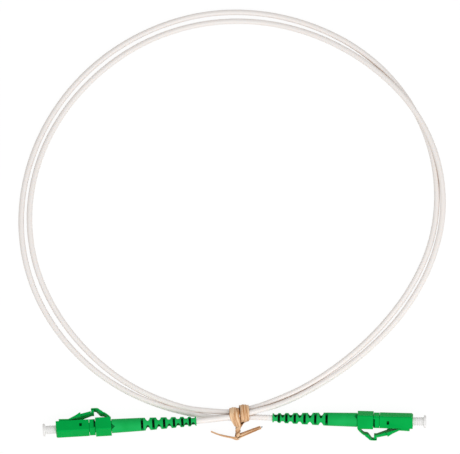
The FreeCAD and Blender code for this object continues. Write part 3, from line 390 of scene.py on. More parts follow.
def kraft_material(base, shade):
    """Waxed kraft paper: the shade of its creases painted as darker lines along the ribbon, brown
    fibres, shade painted into its crevices and a dull wax gloss.

    The ribbon's map is in millimetres, so lines 0.5 mm apart have a scale of 1.9 across it, and they
    are eight millimetres long. What is tucked in under the other band is painted nearly black, as shade.
    """
    material, tree = new_material("Kraft paper waxed")
    ribbon = add(tree, "UVMap", uv_map="ribbon").outputs["UV"]
    place = add(tree, "TexCoord").outputs["Object"]
    stretch = add(tree, "Mapping", {"Vector": ribbon, "Scale": (0.12, 1.9, 1.0)})
    # Painted shade: the lines darken the paper as the shade of its creases would, and with the fibres
    # they also raise the bump.
    lines = add(
        tree,
        "TexNoise",
        {"Vector": stretch.outputs["Vector"], "Scale": 1.0, "Detail": 2.0, "Roughness": 0.4},
    )
    fibre = add(tree, "TexNoise", {"Vector": place, "Scale": 1 / (0.3 * MM), "Detail": 3.0})
    both = add(
        tree,
        "Mix",
        {0: 0.22, 2: lines.outputs["Fac"], 3: fibre.outputs["Fac"]},
        data_type="FLOAT",
    )
    share = add(tree, "MapRange", {"Value": both.outputs[0], "From Min": 0.38, "From Max": 0.6})
    paper = add(
        tree, "Mix", {0: share.outputs["Result"], 6: colour(shade), 7: colour(base)}, data_type="RGBA"
    )
    # Painted shade: crevices and the gap between the bands turn deep brown where ambient occlusion finds
    # them closed in.
    near = add(tree, "AmbientOcclusion", {"Distance": 1.2 * MM}, samples=8)
    open_share = add(tree, "MapRange", {"Value": near.outputs["AO"], "From Min": 0.25, "From Max": 0.7})
    tint = add(
        tree,
        "Mix",
        {0: open_share.outputs["Result"], 6: colour(linear("#5A2E0C")), 7: paper.outputs[2]},
        data_type="RGBA",
    ).outputs[2]
    # Painted shade: where the ribbon's "depth" attribute says it is tucked under the other band, it
    # turns nearly black.
    tucked = add(tree, "Attribute", attribute_name="depth").outputs["Fac"]
    tint = add(
        tree, "Mix", {0: tucked, 6: tint, 7: colour(linear("#3C1C08"))}, data_type="RGBA"
    ).outputs[2]
    bump = add(tree, "Bump", {"Height": both.outputs[0], "Distance": 0.12 * MM, "Strength": 1.0})
    shader = add(
        tree,
        "BsdfPrincipled",
        {
            "Base Color": tint,
            "Roughness": 0.55,
            "IOR": 1.45,
            "Specular IOR Level": 0.3,
            "Normal": bump.outputs["Normal"],
        },
    )
    add(tree, "OutputMaterial", {"Surface": shader.outputs[0]})
    return material


# What a user would change


class CableSettings(PropertyGroup):
    """The cable's size and colours."""

    diameter: FloatProperty(
        name="Cable diameter",
        description="Outer diameter of the jacket",
        default=2.0 * MM,
        min=0.5 * MM,
        unit="LENGTH",
    )
    middle_x: FloatProperty(
        name="Coil middle X",
        description="Where the coil's reaches are measured from",
        default=-0.62 * MM,
        unit="LENGTH",
    )
    middle_y: FloatProperty(
        name="Coil middle Y",
        description="Where the coil's reaches are measured from",
        default=77.82 * MM,
        unit="LENGTH",
    )
    jacket: FloatVectorProperty(
        name="Jacket", description="Jacket colour", subtype="COLOR", default=linear("#F6F1EE")
    )
    jacket_shade: FloatVectorProperty(
        name="Jacket, darker", description="Its darker drift", subtype="COLOR", default=linear("#F0EAE6")
    )


class PlugSettings(PropertyGroup):
    """The plugs' rounding and colours."""

    rounding: FloatProperty(
        name="Edge rounding",
        description="Rounding of the moulded edges",
        default=0.09 * MM,
        min=0.0,
        unit="LENGTH",
    )
    body: FloatVectorProperty(
        name="Body", description="Housing, latch and clip", subtype="COLOR", default=linear("#00AF4C")
    )
    body_shade: FloatVectorProperty(
        name="Body, darker", description="Its darker drift", subtype="COLOR", default=linear("#00A647")
    )
    boot: FloatVectorProperty(
        name="Boot", description="Boot colour", subtype="COLOR", default=linear("#1DB65C")
    )
    boot_shade: FloatVectorProperty(
        name="Boot, darker", description="Its darker drift", subtype="COLOR", default=linear("#12AC50")
    )
    cap: FloatVectorProperty(
        name="Dust cap", description="Cap colour", subtype="COLOR", default=linear("#EAE9E8")
    )
    rings: IntProperty(name="Cap rings", description="Rings on a dust cap's barrel", default=6, min=0)


class TieSettings(PropertyGroup):
    """The twist tie's sizes and colours."""

    width: FloatProperty(
        name="Ribbon width",
        description="Width of the flat ribbon",
        default=3.6 * MM,
        min=1.0 * MM,
        unit="LENGTH",
    )
    paper: FloatProperty(
        name="Paper", description="Thickness of both paper layers", default=0.12 * MM, unit="LENGTH"
    )
    wire: FloatProperty(
        name="Wire", description="Diameter of the wire in the ribbon", default=0.34 * MM, unit="LENGTH"
    )
    kraft: FloatVectorProperty(
        name="Kraft", description="Paper colour", subtype="COLOR", default=linear("#F9D6AE")
    )
    # Its darker lines are the creases' painted shade.
    kraft_shade: FloatVectorProperty(
        name="Kraft, darker", description="Its darker lines", subtype="COLOR", default=linear("#BE8450")
    )


class StageSettings(PropertyGroup):
    """Floor, light and camera."""

    tilt: FloatProperty(
        name="Camera tilt",
        description="How far the camera leans from straight above, towards the plugs' side",
        default=math.radians(CAMERA_TILT),
        subtype="ANGLE",
    )
    distance: FloatProperty(
        name="Camera distance",
        description="From the picture's middle",
        default=2.5,
        min=0.5,
        unit="LENGTH",
    )
    key: FloatProperty(name="Key light", description="Power in watts", default=2.95, min=0.0)
    sky: FloatProperty(name="Sky light", description="Strength all round", default=0.65, min=0.0)


# The cable

# How far each turn reaches from the coil's middle, in millimetres, read from the photograph every
# 15 degrees, counterclockwise, from the angle given first. Last come the heights of the cable's
# middle above the floor where it isn't lying flat: the first turn comes down from the tie and,
# later, lies over the second in a long low hump
TURN_STEP = 15.0
FIRST_TURN = (
    285.0,
    [71.6, 69.7, 69.85, 71.7, 74.2, 76.4, 76.75, 75.4, 73.05, 71.3, 70.15, 69.55]
    + [69.4, 69.7, 70.3, 71.6, 73.05, 74.2, 74.45, 73.8, 73.25, 73.3, 73.15],
    {0: 1.9, 1: 1.15, 5: 1.3, 6: 2.55, 7: 3.4, 8: 2.4, 9: 1.2},
)
SECOND_TURN = (
    292.5,
    [68.4, 67.2, 67.85, 70.15, 72.95, 74.7, 75.65, 75.6, 74.8, 73.6, 73.0, 72.8]
    + [72.7, 73.2, 74.05, 75.25, 76.55, 77.6, 77.75, 77.1, 76.35, 75.3, 74.75],
    {},
)
FLAT = 1.0
LEAN = 1.006

# Where the cable's control points lie in a boot and just behind it, s in millimetres
IN_BOOT = (27.5, 39.0, 50.0, 53.5)

# The three stretches through the tie, from left to right, each point (x, y, z)
THROUGH_TIE = [
    [(-2.5, 2.35, 3.6), (1.5, 3.15, 3.55), (5.4, 4.2, 3.2)],
    [(-9.5, 5.0, 1.15), (-2.5, 4.45, 1.5), (1.5, 4.9, 1.55), (5.4, 5.75, 1.45), (12.1, 7.85, 1.1)],
    [(-2.5, 2.4, 1.5), (1.5, 2.5, 1.55), (5.4, 2.75, 1.75)],
]


def turn_points(turn, middle):
    """Control points of one turn: x = cx + R cos a, y = cy + L R sin a.

    R is the reach divided by how much a quadratic B-spline cuts inside its points, and L undoes the
    shortening of y, because the camera leans.
    """
    start, reaches, heights = turn
    step = math.radians(TURN_STEP)
    cut = (6 + 2 * math.cos(step)) / 8
    points = []
    for i, reach in enumerate(reaches):
        angle = math.radians(start) + i * step
        x = middle[0] + reach / cut * math.cos(angle)
        y = middle[1] + LEAN * reach / cut * math.sin(angle)
        points.append((x, y, heights.get(i, FLAT)))
    return points


def cable_points(middle):
    """The cable's control points: out of boot A, twice round through the tie, into boot B."""
    points = [tuple(on_plug("a", s) / MM) for s in IN_BOOT]
    turns = [turn_points(FIRST_TURN, middle), turn_points(SECOND_TURN, middle), []]
    for stretch, turn in zip(THROUGH_TIE, turns):
        points += stretch + turn
    points += [tuple(on_plug("b", s) / MM) for s in reversed(IN_BOOT)]
    return np.array(points) * MM


class PATCHCORD_OT_cable(Operator):
    """Lay the cable out of boot A, twice round and into boot B"""

    bl_idname = "patch_cord.add_cable"
    bl_label = "Cable"

    def execute(self, context):
        sizes = context.scene.patch_cable
        points = cable_points((sizes.middle_x / MM, sizes.middle_y / MM))
        line = bpy.data.curves.new("cable", "CURVE")
        line.dimensions = "3D"
        run = line.splines.new("NURBS")
        run.points.add(len(points) - 1)
        for point, place in zip(run.points, points):
            point.co = (*place, 1.0)
        run.order_u = 3
        run.use_endpoint_u = True
        run.resolution_u = 12
        run.use_smooth = True
        line.bevel_depth = sizes.diameter / 2
        line.bevel_resolution = 7
        line.use_fill_caps = True
        line.materials.append(jacket_material(sizes.jacket, sizes.jacket_shade))
        cable = add_object("cable", line)
        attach(cable, "cord")
        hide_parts("cable_jacket", "aramid_yarn", "buffered_fibre")
        tuple(on_plug("a", 50.84))
        return {"FINISHED"}


# The plugs

# Every moulded piece of a plug: its new name, the CAD node, the body it rides on, its material slot
MOULDINGS = [
    ("housing", "plug_housing", "cord", "connector"),
    ("latch", "latch_arm", "latch", "connector"),
    ("neck", "backbone", "cord", "connector"),
    ("clip", "trigger_clip", "cord", "connector"),
    ("trigger", "trigger_lever", "trigger", "connector"),
    ("boot_green", "boot", "cord", "boot"),
]


def connector_plastic():
    """PBT, injection moulded: saturated green with a satin gloss from a fine eroded grain, and shade
    painted deep green into its slots and corners.
    """
    plug = bpy.context.scene.patch_plug
    # The deep green below is the painted shade for slots and corners.
    name, dark = "PBT moulded emerald", linear("#04320F")
    return moulded(name, plug.body, plug.body_shade, 0.38, 0.14, 0.006, level=0.025, painted_recess_shade=dark)


def boot_rubber():
    """TPE, injection moulded: a lighter green and a duller gloss, with shade painted nearly black down
    in its slots and notches.
    """
    plug = bpy.context.scene.patch_plug
    # The nearly black green below is painted shade, laid on as far as the boot's "depth" attribute says.
    name, dark = "TPE moulded green", linear("#021C08")
    return moulded(
        name, plug.boot, plug.boot_shade, 0.46, 0.2, 0.006, level=0.04, painted_recess_shade=dark, mapped=True
    )


def reshape(made, side, change):
    """Move a copy's corners: change takes and gives rows of (s, y, u) in the plug's millimetres."""
    origin, along, across, outward = AXES[side]
    flat = np.zeros(3 * len(made.data.vertices))
    made.data.vertices.foreach_get("co", flat)
    turn = np.array([along, across, outward])
    local = change((flat.reshape(-1, 3) - origin) @ turn.T / MM)
    made.data.vertices.foreach_set("co", (origin + local @ turn * MM).ravel())
    made.data.update()


def latch_shape(at):
    """Moves the shoulders back along the arm, thickens the arm behind them and thins its tab."""
    s, u = at[:, 0].copy(), at[:, 2].copy()
    shoulder = (s > 6.3) & (s < 8.7)
    behind = (s > 8.3) & (s < 12.9) & (u > 4.2) & (abs(at[:, 1]) < 1.3)
    at[:, 0] = np.where(shoulder, s + 0.8, s)
    at[:, 2] = np.where(shoulder & (u > 3.78), u + 0.5, np.where(shoulder, u + 0.22, u))
    at[:, 2] = np.where((s > 12.9) & (u < 5.3), u + 0.32, at[:, 2])
    at[:, 2] = np.where(behind, at[:, 2] + np.where(s < 9.0, 0.32, 0.22), at[:, 2])
    return at


def neck_shape(at):
    """Sinks the barbs and the tube under the windows, widens the square neck and deepens its slots."""
    s, y, u = at.T
    reach = np.hypot(y, u)
    slim = (s < 11.0) & (reach > 1.6)
    scale = np.where(slim, np.minimum(1.45, reach) / np.maximum(reach, 0.01), 1.0)
    neck = (s > 12.0) & (s < 14.3)
    scale = np.where(neck & (np.maximum(abs(y), abs(u)) > 2.1), 1.084, scale)
    slot = neck & (s > 13.5) & (abs(y) > 1.6) & (abs(u) < 1.1)
    y = np.where(slot & (abs(y) < 2.0), np.sign(y) * 1.4, y * scale)
    u = np.where(slot & (u > 1.0), 1.75, np.where(slot & (u < -1.0), -1.3, u * scale))
    return np.stack([s, y, u], axis=1)


def housing_shape(at):
    """Widens the housing's outer faces a little and thickens the plate that carries the latch."""
    s, y, u = at.T
    y = np.where(abs(y) > 2.2, y * 1.05, y)
    u = np.where(u < -2.2, u * 1.05, u)
    plate = (u > 2.9) & ((s < 2.0) | (s > 4.68))
    u = np.where(plate, u + np.where(s < 2.0, 0.3, 0.12), u)
    return np.stack([np.where(plate & (s < 2.0), s - 0.3, s), y, u], axis=1)


# Side outline of the trigger lever as (s, u): over the tab, down its back to the root, and back
LEVER = [(12.98, 7.12), (12.92, 7.3), (13.1, 7.41), (13.6, 7.46), (15.15, 7.42), (15.6, 7.25)]
LEVER += [(16.25, 6.62), (17.05, 6.0), (17.25, 5.62), (17.8, 5.42), (18.65, 4.72), (19.35, 4.02)]
LEVER += [(19.88, 3.35), (20.0, 2.98), (19.95, 2.76), (19.6, 2.7), (19.45, 2.45), (19.15, 2.42)]
LEVER += [(18.9, 2.65), (18.87, 2.85), (18.98, 3.15), (18.85, 3.6), (18.4, 4.25), (17.9, 4.72)]
LEVER += [(17.5, 4.92), (16.8, 4.98), (16.3, 5.12), (16.0, 5.4), (15.7, 5.82), (15.3, 6.35)]
LEVER += [(14.95, 6.85), (14.6, 7.08), (14.0, 7.12)]
LEVER_HALF = 1.2

# The pin's middle as (s, u), its radius and half its length
PIN = (19.27, 2.783)
PIN_RADIUS = 0.4
PIN_HALF = 1.95


def lever(name, side, rounding):
    """The trigger lever: its outline drawn straight across, and a round pin through its root."""
    outline = np.array(LEVER)
    angle = full_turn(24)
    pin = np.array(PIN) + PIN_RADIUS * np.stack([np.cos(angle), np.sin(angle)], axis=1)
    points, faces = [], []
    for shape, half in ((outline, LEVER_HALF), (pin, PIN_HALF)):
        count, start = len(shape), sum(len(rows) for rows in points)
        for y in (-half, half):
            points.append(on_plug(side, shape[:, 0], y, shape[:, 1]))
        i = np.arange(count)
        after = (i + 1) % count
        rim = np.stack([i, after, after + count, i + count], axis=1) + start
        faces += rim.tolist() + [list(i[::-1] + start), list(i + count + start)]
    mesh = bpy.data.meshes.new(name)
    mesh.from_pydata(np.concatenate(points).tolist(), [], [list(map(int, face)) for face in faces])
    tidy_mesh(mesh)
    return rounded(add_object(name, mesh), rounding)


RESHAPED = {"housing": housing_shape, "latch": latch_shape, "neck": neck_shape}

# Middles of the boot's slots and the boot's two ends, s in millimetres, read from the photograph
BOOT_SLOTS = (31.17, 35.27, 39.17, 42.72, 45.75, 48.48)
BOOT_ENDS = (20.14, 50.84)

# The boot's radii in front, at the first slot and at the rear, then those of the floor of a cut and
# of the bore, wide in front and narrow behind
BOOT_RADII = (2.56, 2.4, 1.7)
CUT_FLOOR = 1.2
BORE_RADII = (2.05, 1.12)

# How far round from the side that looks up the V in the rim lies, in radians, and how much painted shade
# its edge gets
RIM_VEE = {"a": (0.0, 0.6), "b": (0.6, 0.3)}


def boot(name, side):
    """The boot as one skin over s and the angle b about the axis: the outside, then the bore back.

    b is measured from the side that looks up. Outside, the radius R tapers in two straight
    stretches from 2.56 to 1.7 mm. A slot sinks to 1.2 mm between steep walls 0.9 mm apart, and stops
    where R |sin b| comes within 0.13 mm of R. A notch sinks by up to 1.25 mm over an arc of
    74 degrees either way, 78 degrees round from the top, and the one across from it likewise; its
    width shrinks with the cube of the arc. In front the rim steps back in a shallow V.
    """
    tilt = math.radians(CAMERA_TILT)
    up = np.array([0.0, -math.sin(tilt), math.cos(tilt)])
    facing = math.atan2(up @ AXES[side][3], up @ AXES[side][2])
    under = -1 if math.sin(facing) < 0 else 1
    front, rear = BOOT_ENDS
    slots = np.array(BOOT_SLOTS)
    notches = (slots + np.append(slots[1:], rear)) / 2
    near_slot = np.array([0.6, 0.5, 0.46, 0.42, 0.1])
    near_notch = np.array([0.9, 0.82, 0.74, 0.66, 0.54, 0.42, 0.3, 0.15])
    rows = [np.linspace(front + 0.1, rear - 0.1, 44), [front, front + 0.03, rear - 0.03, rear]]
    for middles, reach in ((slots, near_slot), (notches, near_notch)):
        rows.append((middles[:, None] + np.concatenate([-reach, reach])).ravel())
    s = np.unique(np.concatenate(rows).clip(front, rear).round(3))[:, None]
    b = full_turn(144)[None]
    outer = np.interp(s, [front, 30.5, rear], BOOT_RADII)
    outer = outer - 0.1 * sum(np.exp(-(((s - end) / 0.05) ** 2)) for end in BOOT_ENDS)
    gap = np.abs(s[..., None] - slots).min(axis=-1)
    inside = np.clip((outer - 0.08 - outer * np.abs(np.sin(b))) / 0.1, 0, 1)
    slot = np.clip((0.46 - gap) / 0.04, 0, 1) * inside
    arc = np.abs((b + under * math.radians(78) + math.pi / 2) % math.pi - math.pi / 2)
    half = 0.86 * np.clip(1 - (arc / math.radians(74)) ** 3, 0, 1)
    gap = np.abs(s[..., None] - notches).min(axis=-1)
    notch = np.clip((half - gap) / 0.16, 0, 1)
    room = outer - CUT_FLOOR
    radius = np.minimum(outer - slot * room, outer - notch * np.minimum(1.25, room))
    # Painted shade, kept as the attribute "depth": full in the slots, 0.9 in a notch on the side that
    # looks up and 0.2 on the side away from it.
    above = np.cos(b) > 0.45
    depth = np.maximum(slot, notch * np.where(above, 0.9, 0.2))
    round_to_vee, dark = RIM_VEE[side]
    off = np.abs(b + under * round_to_vee)
    off = np.minimum(off, np.abs(off - 2 * math.pi))
    back = 1.2 * np.clip(1 - off / 0.42, 0, 1) * np.clip(1 - (s - front) / 2.5, 0, 1)
    skin = np.stack([s + back, radius, np.clip(depth, 0, 1)], axis=-1)
    # The V's edge gets the painted shade that RIM_VEE gives, and the bore's rings below are painted from
    # half to full shade.
    rim = skin[:1] - np.array([0.0, 0.12, 0.0])
    rim = rim + np.array([0.0, 0.0, dark]) * (back[:1, :, None] > 0)
    wide, narrow = BORE_RADII
    rings = [[front, wide, 0.5], [front, wide + 0.01, 0.6], [rear, narrow, 1.0], [28.6, narrow, 1.0]]
    rings += [[28.6, wide, 1.0], [front, wide, 0.5]]
    rings = np.array(rings)[:, None] * np.ones_like(b)[..., None]
    grid = np.concatenate([rings[:2], rim, skin, rings[2:]])
    y, u = grid[..., 1] * np.cos(b + facing), grid[..., 1] * np.sin(b + facing)
    return grid_mesh(name, on_plug(side, grid[..., 0], y, u), caps=False, painted_darkness=grid[..., 2])


class PATCHCORD_OT_mouldings(Operator):
    """Add the housings, latches, necks, clips, triggers and boots of both plugs"""

    bl_idname = "patch_cord.add_mouldings"
    bl_label = "Plug mouldings"

    def execute(self, context):
        rounding = context.scene.patch_plug.rounding
        finishes = {"connector": connector_plastic(), "boot": boot_rubber()}
        for side in SIDES:
            for name, node, body, slot in MOULDINGS:
                if name == "trigger":
                    made = lever(f"{name}_{side}", side, rounding)
                elif name == "boot_green":
                    made = boot(f"{name}_{side}", side)
                else:
                    made = node_copy(f"{node}_{side}", f"{name}_{side}", rounding)
                if name in RESHAPED:
                    reshape(made, side, RESHAPED[name])
                made.data.materials.append(finishes[slot])
                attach(made, body if body == "cord" else f"{body}_{side}")
                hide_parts(f"{node}_{side}")
        return {"FINISHED"}


def cap_profile(rings):
    """Outline of a dust cap as (s, radius): end face with its dimple, flange, ringed barrel, bore.

    The barrel's radius falls by a draft and swells by a small cosine once for every ring.
    """
    outline = [(-4.5, 0.0), (-4.5, 0.8), (-4.56, 0.98), (-4.7, 1.08), (-4.76, 1.2), (-4.76, 2.1)]
    outline += [(-4.73, 2.2), (-4.65, 2.26), (-4.5, 2.28), (-4.1, 2.27), (-4.0, 2.22), (-3.94, 2.1)]
    outline += [(-3.94, 1.66), (-3.88, 1.55)]
    barrel, ring_height, draft = 3.8, 0.065, 0.01
    along = np.linspace(-barrel, 0.0, 16 * rings + 1)
    swell = ring_height * np.cos(2 * math.pi * rings * (along + barrel) / barrel)
    outline += list(zip(along, 1.49 - draft * (along + barrel) + swell))
    outline += [(1.2, 1.42), (2.3, 1.38), (2.4, 1.3), (2.4, 0.7), (2.3, 0.655), (-2.5, 0.655)]
    outline += [(-2.6, 0.6), (-2.6, 0.0)]
    return outline


class PATCHCORD_OT_caps(Operator):
    """Add the translucent dust caps with their ringed barrels"""

    bl_idname = "patch_cord.add_caps"
    bl_label = "Dust caps"

    def execute(self, context):
        material = cap_material(context.scene.patch_plug.cap)
        for side in SIDES:
            cap = turned(f"cap_{side}", side, cap_profile(context.scene.patch_plug.rings))
            cap.data.materials.append(material)
            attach(cap, f"dust_cap_{side}")
            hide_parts(f"dust_cap_{side}")
        return {"FINISHED"}


# The twist tie

# The ribbon's middle line from the left tail's tip to the right tail's tip, in millimetres. Each row
# is x, y, z, then the direction of its width, then its width as a share of the full one, then how
# far both edges bend inwards, then how much further the edge on the first side is tucked in
LEFT_TAIL = [
    (-8.7, -2.45, 1.7, 0.0, 0.0, 1.0, 0.85, 0.1, 0.0),
    (-7.0, -3.2, 1.7, 0.0, 0.02, 1.0, 0.9, 0.1, 0.0),
    (-4.9, -3.9, 1.7, 0.0, 0.03, 1.0, 0.9, 0.1, 0.0),
    (-2.4, -4.4, 1.7, 0.0, 0.05, 1.0, 0.85, 0.15, 0.0),
    (-0.6, -4.75, 1.7, 0.1, 0.1, 1.0, 0.75, 0.2, 0.0),
    (0.8, -4.95, 1.9, 0.5, 0.4, 0.8, 0.6, 0.3, 0.0),
]
LOOPS = [
    (0.75, -0.2, 3.3, 1.0, 0.05, 0.15, 0.7, 0.42, 0.0),
    (0.2, 1.2, 4.3, 1.0, 0.05, 0.0, 0.88, 0.45, 0.0),
    (-0.2, 2.6, 5.2, 1.0, 0.02, 0.0, 0.99, 0.45, 0.0),
    (-0.24, 4.2, 5.0, 1.0, 0.0, 0.0, 1.02, 0.45, 0.0),
    (-0.28, 5.75, 3.4, 1.0, 0.0, 0.0, 0.98, 0.4, 0.0),
    (-0.33, 6.3, 1.6, 1.0, 0.0, 0.0, 0.95, 0.3, 0.0),
    (-0.3, 5.8, 0.45, 1.0, 0.05, 0.0, 0.95, 0.0, 0.0),
    (-0.2, 4.4, 0.45, 1.0, 0.1, 0.0, 0.95, 0.0, 0.0),
    (0.6, 3.0, 0.45, 1.0, 0.3, 0.0, 0.95, 0.0, 0.0),
    (1.8, 1.6, 0.45, 1.0, 0.4, 0.0, 0.95, 0.0, 0.0),
    (3.2, 0.9, 0.7, 1.0, 0.2, 0.1, 0.95, 0.2, 0.0),
    (3.4, 1.0, 2.4, 1.0, 0.1, 0.05, 1.0, 0.3, 0.0),
    (3.35, 1.7, 4.1, 1.0, 0.1, 0.0, 1.06, 0.45, 0.5),
    (3.32, 3.2, 5.1, 1.0, 0.12, 0.0, 1.06, 0.5, 0.5),
    (3.28, 5.0, 4.8, 1.0, 0.12, 0.0, 1.02, 0.5, 0.5),
    (3.2, 6.6, 3.8, 1.0, 0.1, 0.0, 0.97, 0.4, 0.5),
    (3.1, 7.3, 2.1, 1.0, 0.05, 0.0, 0.96, 0.3, 0.0),
    (3.1, 6.7, 0.6, 1.0, 0.0, 0.0, 0.93, 0.0, 0.0),
    (3.1, 5.0, 0.45, 1.0, 0.0, 0.0, 0.93, 0.0, 0.0),
    (3.2, 3.2, 0.45, 1.0, 0.1, 0.0, 0.92, 0.0, 0.0),
    (3.1, 1.9, 0.5, 1.0, 0.3, 0.1, 0.85, 0.05, 0.0),
    (2.6, 0.8, 0.8, 0.9, 0.5, 0.3, 0.75, 0.2, 0.0),
    (1.9, -0.4, 1.5, 0.9, 0.4, 0.45, 0.7, 0.3, 0.0),
]
RIGHT_TAIL = [
    (1.2, -4.15, 1.5, 0.2, -0.4, 1.0, 0.8, 0.2, 0.0),
    (1.9, -3.95, 2.2, 0.2, -0.8, 0.7, 0.7, 0.1, 0.0),
    (2.7, -3.65, 2.4, 0.2, -0.85, 0.68, 0.6, 0.1, 0.0),
    (6.0, -2.35, 2.6, 0.2, -0.85, 0.68, 0.51, 0.1, 0.0),
    (9.3, -1.1, 2.5, 0.2, -0.85, 0.68, 0.43, 0.1, 0.0),
]
NECK_ROWS = 8
RIBBON_ROWS = 700


def ply(side, rows):
    """One of the two strands of the twisted neck, from its top to its foot.

    Both make three quarters of a turn about a line in 3.3 mm: the middle stands off that line by
    0.5 to 0.6 mm at an angle that grows with the way down, and the width lies along the circle.
    """
    down = np.linspace(0.0, 1.0, rows)
    angle = np.radians(120 + 270 * down)
    stand = (0.5 + 0.1 * down) * side
    x = 1.1 - 0.1 * down + stand * np.cos(angle)
    y = -1.2 - 3.2 * down
    z = 2.4 - 0.4 * down + stand * np.sin(angle)
    wide = np.stack([np.sin(angle), 0 * angle, -np.cos(angle)], axis=1)
    rest = np.stack([0.7 - 0.06 * down, 0.45 + 0 * down, 0 * down], axis=1)
    return np.concatenate([np.stack([x, y, z], axis=1), wide, rest], axis=1)


def ribbon_points():
    """Every row of the ribbon: left tail, up one strand, both loops, down the other, right tail."""
    up, down = ply(1, NECK_ROWS)[::-1], ply(-1, NECK_ROWS)
    return np.concatenate([LEFT_TAIL, up, LOOPS, down, RIGHT_TAIL])


def ribbon_rows():
    """Middle line, way ahead, width direction and shape (share, bend, tuck) along the ribbon."""
    rows = spline(ribbon_points(), RIBBON_ROWS)
    middle = rows[:, :3]
    ahead = unit(np.gradient(middle, axis=0))
    wide = rows[:, 3:6]
    wide = unit(wide - ahead * np.sum(wide * ahead, axis=1, keepdims=True))
    return middle, ahead, wide, rows[:, 6:]


class PATCHCORD_OT_tie(Operator):
    """Add the kraft paper twist tie and its bare wire end"""

    bl_idname = "patch_cord.add_tie"
    bl_label = "Twist tie"

    def execute(self, context):
        sizes = context.scene.patch_tie
        made = tie_ribbon(sizes.width / MM, sizes.paper / MM, sizes.wire / MM)
        made.data.materials.append(kraft_material(sizes.kraft, sizes.kraft_shade))
        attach(made, "cord")
        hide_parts("tie_ribbon")
        tip = wire_tip(sizes.wire / MM)
        tip.data.materials.append(metal("Annealed iron wire", linear("#5A5F66"), 0.45, 0.2, 0.004))
        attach(tip, "cord")
        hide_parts("tie_wire")
        return {"FINISHED"}


def tie_ribbon(width, paper, wire):
    """The ribbon as one closed strip: its section is carried along the middle line.

    At a share v across, from -1 to 1, the strip bends by v to the fourth, waves by a cosine of v,
    the creases, and each face stands off its middle by half the paper plus a bell over the wire.
    """
    middle, ahead, wide, shape = ribbon_rows()
    share, bend, tuck = shape.T[:, :, None]
    out = np.cross(ahead, wide)
    across = np.linspace(-1, 1, 33)[None]
    along = np.concatenate([[0], np.cumsum(np.linalg.norm(np.diff(middle, axis=0), axis=1))])[:, None]
    half = width / 2 * share
    ridge = wire / 2 * np.exp(-((across * half / 0.3) ** 2))
    thick = paper / 2 + ridge
    crease = bend * (0.35 * across**2 + 0.65 * across**4)
    crease = crease + tuck * np.clip((-across - 0.6) / 0.4, 0, 1) ** 1.5
    crease = crease + 0.1 * np.cos(9.5 * across + 1.1 * np.sin(along / 4.1) + 0.6)
    crease = crease + 0.03 * np.sin(along / 0.45 + 4 * across + 2 * np.sin(along / 1.7))
    spread = middle[:, None] + wide[:, None] * (across * half)[..., None]
    top = spread + out[:, None] * (crease + thick)[..., None]
    bottom = spread + out[:, None] * (crease - thick)[..., None]
    loop = np.concatenate([top, bottom[:, ::-1]], axis=1) * MM
    place = np.stack([along + 0 * across, across * half], axis=-1)
    place = np.concatenate([place, place[:, ::-1]], axis=1)
    # Painted shade: the edge tucked under the other band is marked, as the attribute "depth", to turn
    # nearly black.
    tuck_shade_mask = np.clip((-across - 0.7) / 0.12, 0, 1) * np.clip(2 * tuck, 0, 1)
    tuck_shade_mask = np.concatenate([tuck_shade_mask, tuck_shade_mask[:, ::-1]], axis=1)
    return grid_mesh("tie_kraft", loop, surface_map=("ribbon", place), painted_darkness=tuck_shade_mask)


def wire_tip(wire):
    """The bare end of the wire: a thin rod along the right tail's last stretch."""
    middle, ahead, wide, _ = ribbon_rows()
    start, direction = middle[-1], ahead[-1]
    across, up = wide[-1], np.cross(direction, wide[-1])
    angle = full_turn(16)
    ring = np.cos(angle)[:, None] * across + np.sin(angle)[:, None] * up
    steps = [(-1.5, 1.0), (0.0, 1.0), (0.65, 1.0), (0.7, 0.7)]
    rows = [start + direction * step + ring * wire / 2 * size for step, size in steps]
    return grid_mesh("tie_wire_end", np.array(rows) * MM)


# Pieces inside the plugs, which show when a cap is pulled off


class PATCHCORD_OT_inner(Operator):
    """Give the ferrules, holders, springs and other inner parts their finishes"""

    bl_idname = "patch_cord.finish_inner"
    bl_label = "Inner parts"

    def execute(self, context):
        # Ground and polished zirconia, and glass: almost without grain. Metal pieces show the lines
        # of turning or drawing, the tube is slick and waxy, and the yarn is matt and fibrous
        white, cream = linear("#F2F0EA"), linear("#ECE9E1")
        ceramic = moulded("Zirconia ceramic polished", white, cream, 0.16, 0.1, 0.001)
        glass = moulded("Silica glass fibre", linear("#E6EEF2"), linear("#DDE6EA"), 0.1, 0.05, 0.001)
        nickel = metal("Nickel plated brass", linear("#C9C4B8"), 0.26, 0.3, 0.003)
        steel = metal("Spring steel drawn", linear("#B4B6B9"), 0.3, 0.15, 0.003)
        slick = moulded("PTFE tube extruded", linear("#F2F2EE"), linear("#E9E9E4"), 0.4, 0.3, 0.004)
        crimp = metal("Aluminium crimped", linear("#C4C6C8"), 0.34, 0.3, 0.005)
        yarn = moulded("Aramid yarn", linear("#E0BE45"), linear("#C79F2C"), 0.6, 0.12, 0.03)
        finishes = {
            "ferrule": ceramic,
            "bare_fibre": glass,
            "ferrule_holder": nickel,
            "ferrule_spring": steel,
            "guide_tube": slick,
            "crimp_sleeve": crimp,
            "yarn_flare": yarn,
        }
        for side in SIDES:
            for node, material in finishes.items():
                mesh = frame["nodes"][f"{node}_{side}"].data
                mesh.materials.clear()
                mesh.materials.append(material)
        return {"FINISHED"}


# Stage


WHITE = colour(linear("#FFFFFF"))


def background_rays(tree):
    """1 for camera, glossy and transmission rays, which show the background, and 0 for others."""
    path = add(tree, "LightPath").outputs
    seen = path["Is Camera Ray"]
    for kind in ("Is Glossy Ray", "Is Transmission Ray"):
        seen = add(tree, "Math", {0: seen, 1: path[kind]}, operation="MAXIMUM").outputs[0]
    return seen


